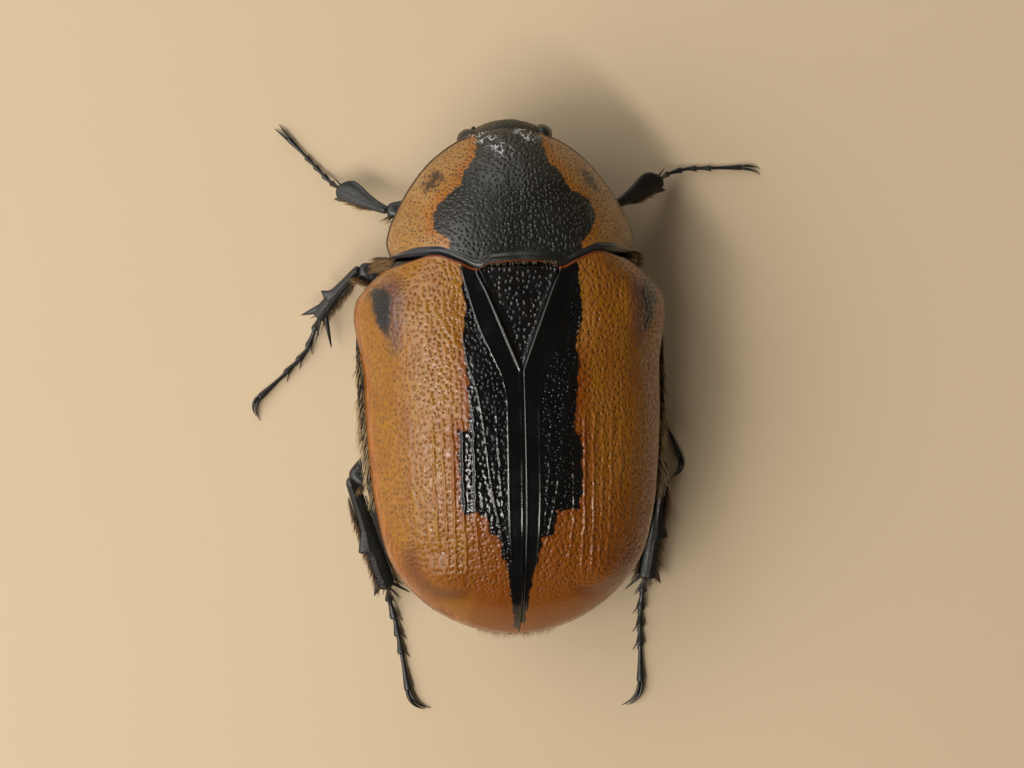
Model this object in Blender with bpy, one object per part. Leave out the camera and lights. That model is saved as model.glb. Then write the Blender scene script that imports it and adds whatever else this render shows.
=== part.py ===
"""Cowboy beetle (Chondropyga dorsalis), a life-size still model.

World frame: +Z up, the head points to -Y and the beetle's left side is +X. The feet rest on z = 0
and the origin lies under the centre of the whole box. Sizes below are in millimetres and are turned
into metres when a mesh is made. The body's midline is x = 0 and its middle is y = 0 until the
parent empty moves the finished beetle over the origin.
"""

import math

import bmesh
import bpy
from mathutils import Vector

# Units and clearances
MM = 0.001
GAP = 0.3
FLOOR = 0.0

# Stations along the body: y and the value there
BODY_HALF_WIDTH = [(-5.6, 4.9), (-5.2, 5.6), (-4.6, 6.35), (-3.9, 6.8), (-3.1, 6.93), (-2.2, 6.82),
                   (-0.8, 6.62), (2.3, 6.48), (4.6, 6.3), (6.0, 6.08), (7.2, 5.78), (8.0, 5.46),
                   (8.7, 5.0), (9.4, 4.36), (10.0, 3.62), (10.6, 2.5), (10.95, 1.4), (11.1, 0.55)]
BODY_CREST = [(-5.6, 9.42), (-3.0, 9.55), (0.0, 9.6), (3.0, 9.42), (6.0, 8.85), (8.0, 8.1),
              (9.4, 7.2), (10.3, 6.3), (10.9, 5.4), (11.1, 4.95)]
BODY_MARGIN = [(-5.6, 5.0), (-3.0, 4.75), (2.0, 4.9), (7.0, 4.85), (11.1, 4.6)]
BODY_KEEL = [(-5.2, 2.6), (-4.2, 2.05), (-3.0, 1.9), (1.0, 1.95), (5.0, 2.0), (8.0, 2.5), (9.7, 3.4)]
TRUNK_HALF_WIDTH = [(-5.2, 4.9), (-4.6, 6.0), (-3.9, 6.6), (-3.1, 6.8), (-0.8, 6.78), (1.0, 6.68),
                    (2.6, 6.4), (4.6, 6.18), (6.0, 5.96), (7.2, 5.66), (8.0, 5.34), (8.7, 4.88),
                    (9.15, 4.4), (9.4, 3.1), (9.7, 1.6)]

PRONOTUM_FRONT = -10.95
PRONOTUM_HIND = -5.4
PRONOTUM_ROWS = 13
PRONOTUM_COLUMNS = 20
PRONOTUM_HALF_WIDTH = [(-10.95, 1.5), (-10.75, 2.15), (-10.15, 3.1), (-9.6, 3.7), (-9.0, 4.2),
                       (-8.4, 4.62), (-7.8, 4.95), (-7.0, 5.32), (-6.2, 5.46), (-5.4, 5.3)]
PRONOTUM_CREST = [(-10.95, 6.6), (-10.8, 6.95), (-10.4, 7.35), (-9.4, 8.05), (-8.0, 8.75),
                  (-6.6, 9.2), (-5.2, 9.42)]
PRONOTUM_MARGIN = [(-10.95, 5.95), (-10.3, 5.45), (-9.0, 4.95), (-7.5, 4.8), (-5.4, 5.0)]
PROSTERNUM_FRONT = -9.95
PROSTERNUM_HIND = -5.5
PROSTERNUM_ROWS = 8
PROSTERNUM_KEEL = [(-9.95, 3.4), (-8.8, 2.85), (-7.0, 2.7), (-5.3, 2.75)]

# The hind edge of the pronotum: y by x
PRONOTUM_HIND_EDGE = [(0.0, -5.38), (1.2, -5.3), (1.83, -5.08), (2.6, -5.4), (3.6, -5.74), (5.6, -5.72)]
# How far in front of its hind line the pronotum starts to follow that edge
PRONOTUM_EDGE_FADE = 1.6

# Section shapes: exponents of the superellipses above the side margin, and how flat the middle and
# how steep the sides of the underside are
DORSAL_EXPONENT = 2.35
PRONOTUM_EXPONENT = 2.1
UNDERSIDE_FLATNESS = 1.8
UNDERSIDE_STEEPNESS = 0.8
UNDERSIDE_COLUMNS = 14
TRUNK_COLUMNS = 12

# Rims: how far a covered edge lies inside or below its rim, and the width of a floor under a rim
RIM_DEPTH = 0.12
FLOOR_SHARE = 0.985
FLOOR_RISE = 0.02

# Middle body: sections with how much of the back each fills, and the blunt keel in front
PTEROTHORAX_STATIONS = [(-5.15, 0.0), (-4.6, 0.0), (-4.4, 1.0), (-3.6, 1.0), (-2.5, 1.0), (-0.8, 1.0),
                        (0.65, 1.0)]
KEEL_PATH = [(0.0, -3.9, 2.5), (0.0, -4.9, 2.3), (0.0, -5.6, 2.12), (0.0, -6.1, 2.05)]
KEEL_RADII = [0.6, 0.45, 0.32, 0.16]
KEEL_FLATNESS = 0.7
MESEPIMERON_PATH = [(4.3, -5.24, 6.7), (4.75, -5.25, 5.95), (5.15, -5.3, 5.2), (5.45, -5.45, 4.4),
                    (5.3, -5.5, 3.9)]
MESEPIMERON_RADII = [0.14, 0.2, 0.24, 0.34, 0.2]

# Elytra
ELYTRON_THICKNESS = 0.6
ELYTRON_FRONT = -5.2
ELYTRON_APEX = 11.08
ELYTRON_ROWS = 19
ELYTRON_STRAIGHT_ROWS = 12
RIDGE_HEIGHT = 0.13
RIDGE_FADE = 1.2
RIDGE_FULL_WIDTH = 3.0
# The front edge follows the pronotum, sloping back beyond the shoulder, but never behind its limit
SHOULDER_START = 3.9
SHOULDER_SLOPE = 0.3
ELYTRON_FRONT_LIMIT = -4.8
ELYTRON_FRONT_FADE = 1.5
# Across an elytron from the suture (0) to the side margin (1): place and whether a ridge runs there
ELYTRON_COLUMNS = [(0.0, 1), (0.045, 0), (0.085, 0), (0.12, 1), (0.155, 0), (0.27, 0), (0.305, 1),
                   (0.34, 0), (0.48, 0), (0.52, 1), (0.56, 0), (0.68, 0), (0.80, 0), (0.92, 0), (1.0, 0)]

# Scutellum
SCUTELLUM_BASE = -5.0
SCUTELLUM_TIP = -0.55
SCUTELLUM_HALF_WIDTH = 1.72
SCUTELLUM_THICKNESS = 0.7
SCUTELLUM_ROWS = 8
SCUTELLUM_PLACES = (-1.0, -0.75, 0.0, 0.75, 1.0)
SCUTELLUM_TIP_HALF_WIDTH = 0.12
SCUTELLUM_SINK = 0.16
SCUTELLUM_EDGE_SINK = 0.02

# Abdomen and pygidium
ABDOMEN_FRONT = 0.95
ABDOMEN_END = 9.15
STERNITES = 5
STERNITE_STEP = 0.14
STERNITE_GROOVE = 0.06
STERNITE_NARROWING = 0.02
ABDOMEN_TAIL = (9.35, 9.6)
PYGIDIUM_HALF_WIDTH = 3.9
PYGIDIUM_REAR = 11.02
PYGIDIUM_TOP = 4.3
PYGIDIUM_BOTTOM = 2.35
PYGIDIUM_THICKNESS = 0.55
PYGIDIUM_ROWS = 6
PYGIDIUM_HALF_COLUMNS = 5
PYGIDIUM_TAPER = 0.75
PYGIDIUM_BULGE = 0.083
PYGIDIUM_LEAN = 0.9
PYGIDIUM_INNER_SHARE = 0.86

# Head rings, top to mouth: height, half width, half depth, centre y
HEAD_RINGS = [(5.58, 1.15, 0.38, -11.02), (5.42, 1.55, 0.6, -11.02), (5.0, 1.85, 0.74, -11.02),
              (4.4, 1.85, 0.72, -11.04), (3.8, 1.72, 0.6, -11.12), (3.25, 1.7, 0.42, -11.27),
              (2.9, 1.55, 0.32, -11.36), (2.7, 1.35, 0.24, -11.4)]
HEAD_EXPONENT = 2.6
HEAD_SIDES = 22
EYE_CENTRE = (1.6, -10.95, 4.75)
EYE_RADII = (0.5, 0.52, 0.64)
EYE_GAP = 0.2
CLYPEUS_NOTCH = 0.36
CLYPEUS_NOTCH_HALF_WIDTH = 0.6
CLYPEUS_NOTCH_TOP = 3.3
CLYPEUS_NOTCH_HEIGHT = 0.6
EYE_SEGMENTS = 12
EYE_RINGS = 8

# Feelers on the left side: paths and radii
ANTENNA_SHAFT = [(1.25, -10.75, 3.35), (1.75, -10.45, 3.15), (2.15, -10.2, 3.1)]
ANTENNA_SHAFT_RADII = [0.25, 0.34, 0.26]
ANTENNA_LINKS = [(2.0, -10.3, 3.12), (2.35, -10.0, 3.05), (2.6, -9.75, 3.0)]
ANTENNA_LINK_RADII = [0.25, 0.27, 0.3]
# The middle leaf of the club; each other leaf is spread by its own share of ANTENNA_LEAF_SPREAD
ANTENNA_LEAF = [(2.5, -9.85, 3.0), (2.9, -9.45, 2.95), (3.5, -8.95, 2.9)]
ANTENNA_LEAF_SPREAD = [(0.0, 0.0, 0.0), (0.12, 0.0, 0.3), (0.1, 0.0, 0.36)]
ANTENNA_LEAF_RADII = [0.24, 0.3, 0.16]
ANTENNA_LEAF_FLATNESS = 0.5
PALP_PATH = [(0.8, -10.95, 2.5), (0.9, -11.05, 2.25), (1.0, -11.15, 2.1), (1.1, -11.3, 1.85),
             (1.15, -11.4, 1.62)]
PALP_RADII = [0.25, 0.27, 0.25, 0.28, 0.12]
FEELER_SIDES = 8

# Legs. Each is a chain of joints on the midline of its pieces, in millimetres:
# hip and knee of the femur, knee and ankle of the tibia, then the tarsus to the base of the claws,
# and the tip of the claws.
LEGS = {
    "front_left": {
        "hip": (1.95, -7.75, 2.0), "knee": (5.2, -8.0, 2.4), "ankle": (7.3, -9.15, 1.0),
        "tarsus": [(7.65, -9.5, 0.62), (8.4, -10.35, 0.3), (9.45, -11.5, 0.26)],
        "claw_tip": (9.95, -12.05, 0.08), "kind": "front"},
    "front_right": {
        "hip": (-1.95, -7.75, 2.0), "knee": (-5.2, -8.0, 2.4), "ankle": (-7.6, -9.25, 1.0),
        "tarsus": [(-8.05, -9.5, 0.62), (-9.2, -9.72, 0.3), (-11.5, -9.72, 0.26)],
        "claw_tip": (-12.35, -9.5, 0.08), "kind": "front"},
    "mid_left": {
        "hip": (2.45, -4.35, 1.5), "knee": (6.55, -5.35, 2.55), "ankle": (8.3, -3.45, 1.05),
        "tarsus": [(8.45, -3.0, 0.66), (8.85, -1.95, 0.3), (9.65, -0.98, 0.26), (11.1, 0.32, 0.26)],
        "claw_tip": (11.15, 1.25, 0.08), "kind": "mid"},
    "mid_right": {
        "hip": (-2.45, -4.2, 1.5), "knee": (-6.1, -3.0, 2.5), "ankle": (-6.3, -0.4, 1.05),
        "tarsus": [(-6.5, 0.1, 0.66), (-6.95, 1.05, 0.3), (-7.6, 2.1, 0.26), (-8.2, 3.6, 0.26)],
        "claw_tip": (-7.8, 4.55, 0.08), "kind": "mid"},
    "hind_left": {
        "hip": (2.7, 0.9, 1.45), "knee": (7.15, 4.15, 2.7), "ankle": (5.5, 9.15, 1.05),
        "tarsus": [(5.42, 9.7, 0.66), (5.15, 10.8, 0.3), (4.9, 12.3, 0.26), (4.65, 13.9, 0.26)],
        "claw_tip": (3.75, 14.75, 0.08), "kind": "hind"},
    "hind_right": {
        "hip": (-2.7, 0.9, 1.45), "knee": (-7.0, 3.85, 2.7), "ankle": (-6.32, 9.15, 1.05),
        "tarsus": [(-6.25, 9.7, 0.66), (-6.13, 10.98, 0.3), (-6.1, 12.5, 0.26), (-6.08, 13.9, 0.26)],
        "claw_tip": (-5.3, 14.95, 0.08), "kind": "hind"},
}
LEG_SIDES = 10
JOINT_GAP = 0.4
UP = Vector((0.0, 0.0, 1.0))
COXA_RADIUS = {"front": 0.56, "mid": 0.56, "hind": 0.72}
COXA_FLATNESS = {"front": 0.8, "mid": 0.8, "hind": 0.6}
COXA_SHARES = (0.45, 0.95, 1.0, 0.6)
FEMUR_RADIUS = {"front": 0.62, "mid": 0.66, "hind": 0.78}
FEMUR_PLACES = (0.0, 0.04, 0.15, 0.38, 0.65, 0.86, 0.97, 1.0)
FEMUR_SHARES = (0.25, 0.5, 0.8, 1.0, 0.92, 0.7, 0.5, 0.25)
FEMUR_FLATNESS = 0.78
TIBIA_PLACES = (0.0, 0.06, 0.4, 0.82, 0.96, 1.0)
TIBIA_END_SHARE = 0.6
TIBIA_RADII = {"front": (0.25, 0.4, 0.56, 0.5), "mid": (0.26, 0.33, 0.37, 0.42),
               "hind": (0.27, 0.35, 0.4, 0.45)}
TIBIA_FLATNESS = {"front": 0.55, "mid": 0.85, "hind": 0.8}
# Teeth of a shin: where along it the tooth starts and where its tip's place lies, how far the tip
# stands outward and onward, and the radius at the root
FRONT_TOOTH_REACH = 0.72
FRONT_TOOTH_LEAN = 0.3
FRONT_TOOTH_PLACE = 0.66
FRONT_TOOTH_RADIUS = 0.34
FRONT_SPUR_REACH = 0.58
FRONT_SPUR_PLACE = 0.84
FRONT_SPUR_RADIUS = 0.3
SHIN_TEETH = [(0.5, 0.66, 0.78, 0.0, 0.26), (0.84, 1.0, 0.8, 0.12, 0.28)]
SPUR_PLACE = 0.9
SPUR_INSET = 0.15
SPUR_TIP = (0.8, 0.95)
SPUR_RADIUS = 0.22

# Feet: links with a thin base, a thick end and a rounded rim, two spines on each, and two claws
TARSOMERES = 5
TARSOMERE_RADII = (0.24, 0.33)
TARSOMERE_RIM_SHARE = 0.85
TARSOMERE_STATIONS = (0.03, 0.8, 0.95)
FOOT_SPINE = (0.45, 0.46, -0.05)
FOOT_SPINE_RADIUS = 0.16
FOOT_SPINE_LOWEST = 0.12
CLAW_ROOT = 0.98
CLAW_SPREAD = 0.16
CLAW_RADIUS = 0.19
CLAW_RADII = [CLAW_RADIUS, CLAW_RADIUS, 0.15, 0.1, 0.05]

# Colours: base colour, roughness and metallic value
BLACK_SHELL = ("black shell", (0.012, 0.011, 0.011), 0.3, 0.0)
TAN_SHELL = ("tan shell", (0.42, 0.19, 0.05), 0.32, 0.0)
EYE_GLOSS = ("eye gloss", (0.03, 0.022, 0.018), 0.12, 0.0)


def remove_all():
    """Empty the scene of the objects that it starts with."""
    for obj in list(bpy.data.objects):
        bpy.data.objects.remove(obj, do_unlink=True)


def material(finish):
    """Return the named Principled material, made once."""
    name, colour, roughness, metallic = finish
    made = bpy.data.materials.get(name)
    if made is None:
        made = bpy.data.materials.new(name)
        made.use_nodes = True
        shader = made.node_tree.nodes["Principled BSDF"]
        shader.inputs["Base Color"].default_value = (*colour, 1.0)
        shader.inputs["Roughness"].default_value = roughness
        shader.inputs["Metallic"].default_value = metallic
    return made


def along(stations, place):
    """Read a smooth curve through (place, value) stations at the given place."""
    if place <= stations[0][0]:
        return stations[0][1]
    if place >= stations[-1][0]:
        return stations[-1][1]
    slopes = [(b[1] - a[1]) / (b[0] - a[0]) for a, b in zip(stations, stations[1:])]
    tangents = [slopes[0]]
    for left, right in zip(slopes, slopes[1:]):
        tangents.append(2.0 * left * right / (left + right) if left * right > 0.0 else 0.0)
    tangents.append(slopes[-1])
    for index, (start, end) in enumerate(zip(stations, stations[1:])):
        if place <= end[0]:
            width = end[0] - start[0]
            t = (place - start[0]) / width
            return ((2 * t ** 3 - 3 * t ** 2 + 1) * start[1]
                    + (t ** 3 - 2 * t ** 2 + t) * width * tangents[index]
                    + (3 * t ** 2 - 2 * t ** 3) * end[1]
                    + (t ** 3 - t ** 2) * width * tangents[index + 1])
    return stations[-1][1]


def signed_power(value, power):
    """Raise the size of a value to a power and keep its sign."""
    return math.copysign(abs(value) ** power, value)


def spread(start, end, count, ease=0.6):
    """Return count + 1 places from start to end, set closer towards both ends."""
    places = []
    for step in range(count + 1):
        t = step / count
        eased = (1.0 - ease) * t + ease * 0.5 * (1.0 - math.cos(math.pi * t))
        places.append(start + (end - start) * eased)
    return places


def dorsal_height(x, y):
    """Height of the smooth back of elytra and scutellum at a place."""
    half = along(BODY_HALF_WIDTH, y)
    margin = along(BODY_MARGIN, y)
    rise = along(BODY_CREST, y) - margin
    side = min(abs(x) / half, 1.0)
    return margin + rise * (1.0 - side ** DORSAL_EXPONENT) ** (1.0 / DORSAL_EXPONENT)


def finish_object(name, mesh, finish):
    """Link a mesh as the named object, faces out and smooth but for sharp edges."""
    obj = bpy.data.objects.new(name, mesh)
    bpy.context.scene.collection.objects.link(obj)
    mesh.materials.clear()
    mesh.materials.append(material(finish))
    mesh.shade_smooth()
    mesh.set_sharp_from_angle(angle=math.radians(40.0))
    return obj


def mesh_from(points, faces):
    """Make a closed mesh from points in millimetres, with its faces pointing out."""
    mesh = bpy.data.meshes.new("piece")
    work = bmesh.new()
    made = [work.verts.new(Vector(point) * MM) for point in points]
    for face in faces:
        work.faces.new([made[index] for index in face])
    bmesh.ops.recalc_face_normals(work, faces=work.faces[:])
    work.to_mesh(mesh)
    work.free()
    return mesh


def loft(rings):
    """Join rings of equal length into a tube with a fan on each end."""
    count = len(rings[0])
    points = [point for ring in rings for point in ring]
    faces = []
    for row in range(len(rings) - 1):
        for column in range(count):
            after = (column + 1) % count
            faces.append((row * count + column, row * count + after,
                          (row + 1) * count + after, (row + 1) * count + column))
    for row in (0, len(rings) - 1):
        middle = sum((Vector(point) for point in rings[row]), Vector()) / count
        points.append(middle[:])
        centre = len(points) - 1
        for column in range(count):
            faces.append((row * count + column, row * count + (column + 1) % count, centre))
    return mesh_from(points, faces)


def plate(outer, inner):
    """Join two grids of equal size into one closed plate."""
    rows, columns = len(outer), len(outer[0])
    points = [point for row in outer for point in row] + [point for row in inner for point in row]
    under = rows * columns

    def index(row, column):
        return row * columns + column

    faces = []
    for row in range(rows - 1):
        for column in range(columns - 1):
            square = (index(row, column), index(row, column + 1),
                      index(row + 1, column + 1), index(row + 1, column))
            for corners in ((0, 1, 2), (0, 2, 3)):
                faces.append(tuple(square[corner] for corner in corners))
                faces.append(tuple(square[corner] + under for corner in reversed(corners)))
    border = [index(0, column) for column in range(columns)]
    border += [index(row, columns - 1) for row in range(1, rows)]
    border += [index(rows - 1, column) for column in range(columns - 2, -1, -1)]
    border += [index(row, 0) for row in range(rows - 2, 0, -1)]
    for here, there in zip(border, border[1:] + border[:1]):
        faces.append((here, there, there + under, here + under))
    return mesh_from(points, faces)


def inward(grid, depth, hold_x, hold_y):
    """Offset a grid along its normals; hold_x and hold_y tell which rim places keep x or y."""
    rows, columns = len(grid), len(grid[0])
    result = []
    for row in range(rows):
        line = []
        for column in range(columns):
            across = (Vector(grid[row][min(column + 1, columns - 1)])
                      - Vector(grid[row][max(column - 1, 0)]))
            down = (Vector(grid[min(row + 1, rows - 1)][column])
                    - Vector(grid[max(row - 1, 0)][column]))
            normal = across.cross(down)
            if hold_x(row, column):
                normal.x = 0.0
            if hold_y(row, column):
                normal.y = 0.0
            normal.normalize()
            line.append(tuple(Vector(grid[row][column]) - normal * depth))
        result.append(line)
    return result


def ring_round(centre, direction, side, radius_side, radius_up, sides, start=0.0):
    """Return an ellipse of points round a centre, square to a direction."""
    up = side.cross(direction).normalized()
    points = []
    for step in range(sides):
        angle = start + 2.0 * math.pi * step / sides
        points.append(tuple(centre + side * (radius_side * math.cos(angle))
                            + up * (radius_up * math.sin(angle))))
    return points


def limb(path, radii, sides=LEG_SIDES, flat=1.0, floor=None):
    """Loft ellipses along a path; flat is the upright radius over the level one."""
    path = [Vector(point) for point in path]
    rings = []
    for index, centre in enumerate(path):
        before = path[max(index - 1, 0)]
        after = path[min(index + 1, len(path) - 1)]
        direction = (after - before).normalized()
        side = direction.cross(Vector((0.0, 0.0, 1.0)))
        side = side.normalized() if side.length > 0.05 else Vector((1.0, 0.0, 0.0))
        ring = ring_round(centre, direction, side, radii[index], radii[index] * flat, sides)
        if floor is not None:
            ring = [(x, y, max(z, floor)) for x, y, z in ring]
        rings.append(ring)
    return loft(rings)


def cone(base, tip, radius, sides=5, tip_radius=0.05):
    """A tapered spine from a base to a tip, both in millimetres."""
    return limb([base, tip], [radius, tip_radius], sides)


def ellipsoid(centre, radii, segments=EYE_SEGMENTS, rings=EYE_RINGS):
    """A closed ellipsoid mesh."""
    points, faces = [], []
    for ring in range(1, rings):
        polar = math.pi * ring / rings
        for segment in range(segments):
            turn = 2.0 * math.pi * segment / segments
            points.append((centre[0] + radii[0] * math.sin(polar) * math.cos(turn),
                           centre[1] + radii[1] * math.sin(polar) * math.sin(turn),
                           centre[2] + radii[2] * math.cos(polar)))
    top, bottom = len(points), len(points) + 1
    points += [(centre[0], centre[1], centre[2] + radii[2]), (centre[0], centre[1], centre[2] - radii[2])]
    for ring in range(rings - 2):
        for segment in range(segments):
            after = (segment + 1) % segments
            faces.append((ring * segments + segment, ring * segments + after,
                          (ring + 1) * segments + after, (ring + 1) * segments + segment))
    for segment in range(segments):
        after = (segment + 1) % segments
        faces.append((segment, after, top))
        faces.append(((rings - 2) * segments + segment, (rings - 2) * segments + after, bottom))
    return mesh_from(points, faces)


def keep_largest(mesh):
    """Drop all but the largest closed surface of a mesh."""
    work = bmesh.new()
    work.from_mesh(mesh)
    work.verts.ensure_lookup_table()
    seen, groups = set(), []
    for vert in work.verts:
        if vert.index in seen:
            continue
        group, queue = [], [vert]
        seen.add(vert.index)
        while queue:
            here = queue.pop()
            group.append(here)
            for edge in here.link_edges:
                other = edge.other_vert(here)
                if other.index not in seen:
                    seen.add(other.index)
                    queue.append(other)
        groups.append(group)
    groups.sort(key=len, reverse=True)
    loose = [vert for group in groups[1:] for vert in group]
    bmesh.ops.delete(work, geom=loose, context="VERTS")
    work.to_mesh(mesh)
    work.free()


def combine(base, others, operation="UNION", solver="EXACT"):
    """Join or cut a mesh with a list of closed meshes and return the result."""
    scene = bpy.context.scene
    target = bpy.data.objects.new("target", base)
    scene.collection.objects.link(target)
    group = bpy.data.collections.new("pieces")
    scene.collection.children.link(group)
    helpers = []
    for mesh in others:
        helper = bpy.data.objects.new("helper", mesh)
        group.objects.link(helper)
        helpers.append(helper)
    change = target.modifiers.new("combine", "BOOLEAN")
    change.operation = operation
    change.solver = solver
    change.operand_type = "COLLECTION"
    change.collection = group
    bpy.context.view_layer.update()
    graph = bpy.context.evaluated_depsgraph_get()
    result = bpy.data.meshes.new_from_object(target.evaluated_get(graph))
    for helper in helpers:
        bpy.data.objects.remove(helper, do_unlink=True)
    bpy.data.objects.remove(target, do_unlink=True)
    bpy.data.collections.remove(group)
    keep_largest(result)
    return result


def elytron(side):
    """One wing case: a bent shell with raised ribs, from shoulder to tip."""
    outer, smooth = [], []
    for y in spread(ELYTRON_FRONT, ELYTRON_APEX, ELYTRON_ROWS):
        half = along(BODY_HALF_WIDTH, y)
        reach = min(max((y - SCUTELLUM_BASE) / (SCUTELLUM_TIP - SCUTELLUM_BASE), 0.0), 1.0)
        inner_edge = GAP / 2.0 + (SCUTELLUM_HALF_WIDTH + GAP / 2.0) * (1.0 - reach)
        front_fade = max(0.0, 1.0 - (y - ELYTRON_FRONT) / ELYTRON_FRONT_FADE)
        ribbed, plain = [], []
        for place, ridge in ELYTRON_COLUMNS:
            x = inner_edge + (half - inner_edge) * math.sin(place * math.pi / 2.0)
            edge = along(PRONOTUM_HIND_EDGE, x) + GAP + SHOULDER_SLOPE * max(0.0, x - SHOULDER_START)
            shift = (min(edge, ELYTRON_FRONT_LIMIT) - ELYTRON_FRONT) * front_fade
            z = dorsal_height(x, y)
            fade = min(1.0, (half - inner_edge) / RIDGE_FULL_WIDTH)
            fade *= min(1.0, (y - ELYTRON_FRONT) / RIDGE_FADE)
            plain.append((side * x, y + shift, z))
            ribbed.append((side * x, y + shift, z + ridge * RIDGE_HEIGHT * fade))
        smooth.append(plain)
        outer.append(ribbed)
    last = len(ELYTRON_COLUMNS) - 1
    inner = inward(smooth, ELYTRON_THICKNESS * side, lambda row, column: column == 0,
                   lambda row, column: row == 0 or (column == last and row < ELYTRON_STRAIGHT_ROWS))
    return plate(outer, inner)


def scutellum():
    """The long triangle between the wing cases."""
    top, bottom = [], []
    for y in spread(SCUTELLUM_BASE, SCUTELLUM_TIP, SCUTELLUM_ROWS, 0.2):
        reach = (y - SCUTELLUM_BASE) / (SCUTELLUM_TIP - SCUTELLUM_BASE)
        half = max(SCUTELLUM_TIP_HALF_WIDTH, SCUTELLUM_HALF_WIDTH * (1.0 - reach))
        line_top, line_bottom = [], []
        for place in SCUTELLUM_PLACES:
            x = place * half
            z = dorsal_height(x, y) - (SCUTELLUM_SINK if abs(place) < 1.0 else SCUTELLUM_EDGE_SINK)
            line_top.append((x, y, z))
            line_bottom.append((x, y, dorsal_height(x, y) - SCUTELLUM_THICKNESS))
        top.append(line_top)
        bottom.append(line_bottom)
    return plate(top, bottom)


def pronotum():
    """The shield behind the head: a dome over a level underside."""
    rings = []
    for y in spread(PRONOTUM_FRONT, PRONOTUM_HIND, PRONOTUM_ROWS, 0.5):
        half = along(PRONOTUM_HALF_WIDTH, y)
        margin = along(PRONOTUM_MARGIN, y)
        rise = along(PRONOTUM_CREST, y) - margin
        fade = max(0.0, 1.0 - (PRONOTUM_HIND - y) / PRONOTUM_EDGE_FADE)
        arch = []
        for step in range(PRONOTUM_COLUMNS + 1):
            angle = math.pi * (step / PRONOTUM_COLUMNS - 0.5)
            x = half * signed_power(math.sin(angle), 2.0 / PRONOTUM_EXPONENT)
            z = margin + rise * abs(math.cos(angle)) ** (2.0 / PRONOTUM_EXPONENT)
            shift = (along(PRONOTUM_HIND_EDGE, abs(x)) - PRONOTUM_HIND) * fade
            arch.append((x, y + shift, z))
        floor_line = [(x * FLOOR_SHARE, place, margin - RIM_DEPTH) for x, place, z in reversed(arch[1:-1])]
        rings.append(arch + floor_line)
    return loft(rings)


def half_below(y, half, level, keel):
    """The lower half of a section, from the right side under the keel to the left side."""
    points = []
    for step in range(UNDERSIDE_COLUMNS + 1):
        share = math.sin(math.pi * (0.5 - step / UNDERSIDE_COLUMNS))
        drop = max(0.0, 1.0 - abs(share) ** UNDERSIDE_FLATNESS) ** UNDERSIDE_STEEPNESS
        points.append((half * share, y, level - (level - keel) * drop))
    return points


def prosternum():
    """The underside of the front body, below the pronotum."""
    rings = []
    for y in spread(PROSTERNUM_FRONT, PROSTERNUM_HIND, PROSTERNUM_ROWS, 0.3):
        half = along(PRONOTUM_HALF_WIDTH, y) - RIM_DEPTH
        level = along(PRONOTUM_MARGIN, y) - RIM_DEPTH - GAP
        lower = half_below(y, half, level, along(PROSTERNUM_KEEL, y))
        upper = [(x * FLOOR_SHARE, y, level + FLOOR_RISE) for x, place, z in reversed(lower[1:-1])]
        rings.append(lower + upper)
    return loft(rings)


def trunk_ring(y, cover=1.0):
    """A section of the hind body: full below the margin, tucked under the wing cases above."""
    half = along(TRUNK_HALF_WIDTH, y)
    margin = along(BODY_MARGIN, y)
    lower = half_below(y, half, margin - GAP, along(BODY_KEEL, y))
    tuck = ELYTRON_THICKNESS + GAP + RIM_DEPTH
    upper_half = min(half, along(BODY_HALF_WIDTH, y)) - tuck
    rise = cover * (along(BODY_CREST, y) - margin - tuck)
    upper = []
    for step in range(TRUNK_COLUMNS + 1):
        angle = math.pi * (step / TRUNK_COLUMNS - 0.5)
        x = upper_half * signed_power(math.sin(angle), 2.0 / DORSAL_EXPONENT)
        z = margin - GAP + (rise + GAP) * abs(math.cos(angle)) ** (2.0 / DORSAL_EXPONENT)
        upper.append((x, y, max(z, margin - GAP + FLOOR_RISE)))
    return lower + upper


def pterothorax():
    """The middle body that carries the mid and hind legs, with its blunt keel in front."""
    rings = [trunk_ring(y, cover) for y, cover in PTEROTHORAX_STATIONS]
    return combine(loft(rings), [limb(KEEL_PATH, KEEL_RADII, 8, KEEL_FLATNESS)])


def abdomen():
    """The hind body with its five plates, each stepping over the next."""
    rings = []
    length = ABDOMEN_END - ABDOMEN_FRONT
    for plate_index in range(STERNITES):
        start = ABDOMEN_FRONT + length * plate_index / STERNITES
        end = ABDOMEN_FRONT + length * (plate_index + 1) / STERNITES - STERNITE_GROOVE
        for y, step in ((start, 1.0), (0.5 * (start + end), 0.4), (end, 0.0)):
            ring = trunk_ring(y)
            keel_side = [(x * (1.0 - STERNITE_NARROWING * step), place, z + STERNITE_STEP * step)
                         for x, place, z in ring[1:UNDERSIDE_COLUMNS]]
            rings.append([ring[0]] + keel_side + ring[UNDERSIDE_COLUMNS:])
    rings += [trunk_ring(y) for y in ABDOMEN_TAIL]
    return loft(rings)


def pygidium():
    """The end plate below the tips of the wing cases."""
    outer = []
    for step in range(PYGIDIUM_ROWS + 1):
        down = step / PYGIDIUM_ROWS
        z = PYGIDIUM_TOP + (PYGIDIUM_BOTTOM - PYGIDIUM_TOP) * down
        half = PYGIDIUM_HALF_WIDTH * math.sqrt(1.0 - PYGIDIUM_TAPER * down ** 2)
        line = []
        for column in range(2 * PYGIDIUM_HALF_COLUMNS + 1):
            x = half * math.sin(math.pi / 2.0 * (column / PYGIDIUM_HALF_COLUMNS - 1.0))
            y = PYGIDIUM_REAR - PYGIDIUM_BULGE * x * x - PYGIDIUM_LEAN * down ** 2
            line.append((x, y, z))
        outer.append(line)
    inner = [[(x * PYGIDIUM_INNER_SHARE, y - PYGIDIUM_THICKNESS, z) for x, y, z in line] for line in outer]
    return plate(outer, inner)


def on_side(path, side):
    """Return a left side path for the given side."""
    return [(side * x, y, z) for x, y, z in path]


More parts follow.
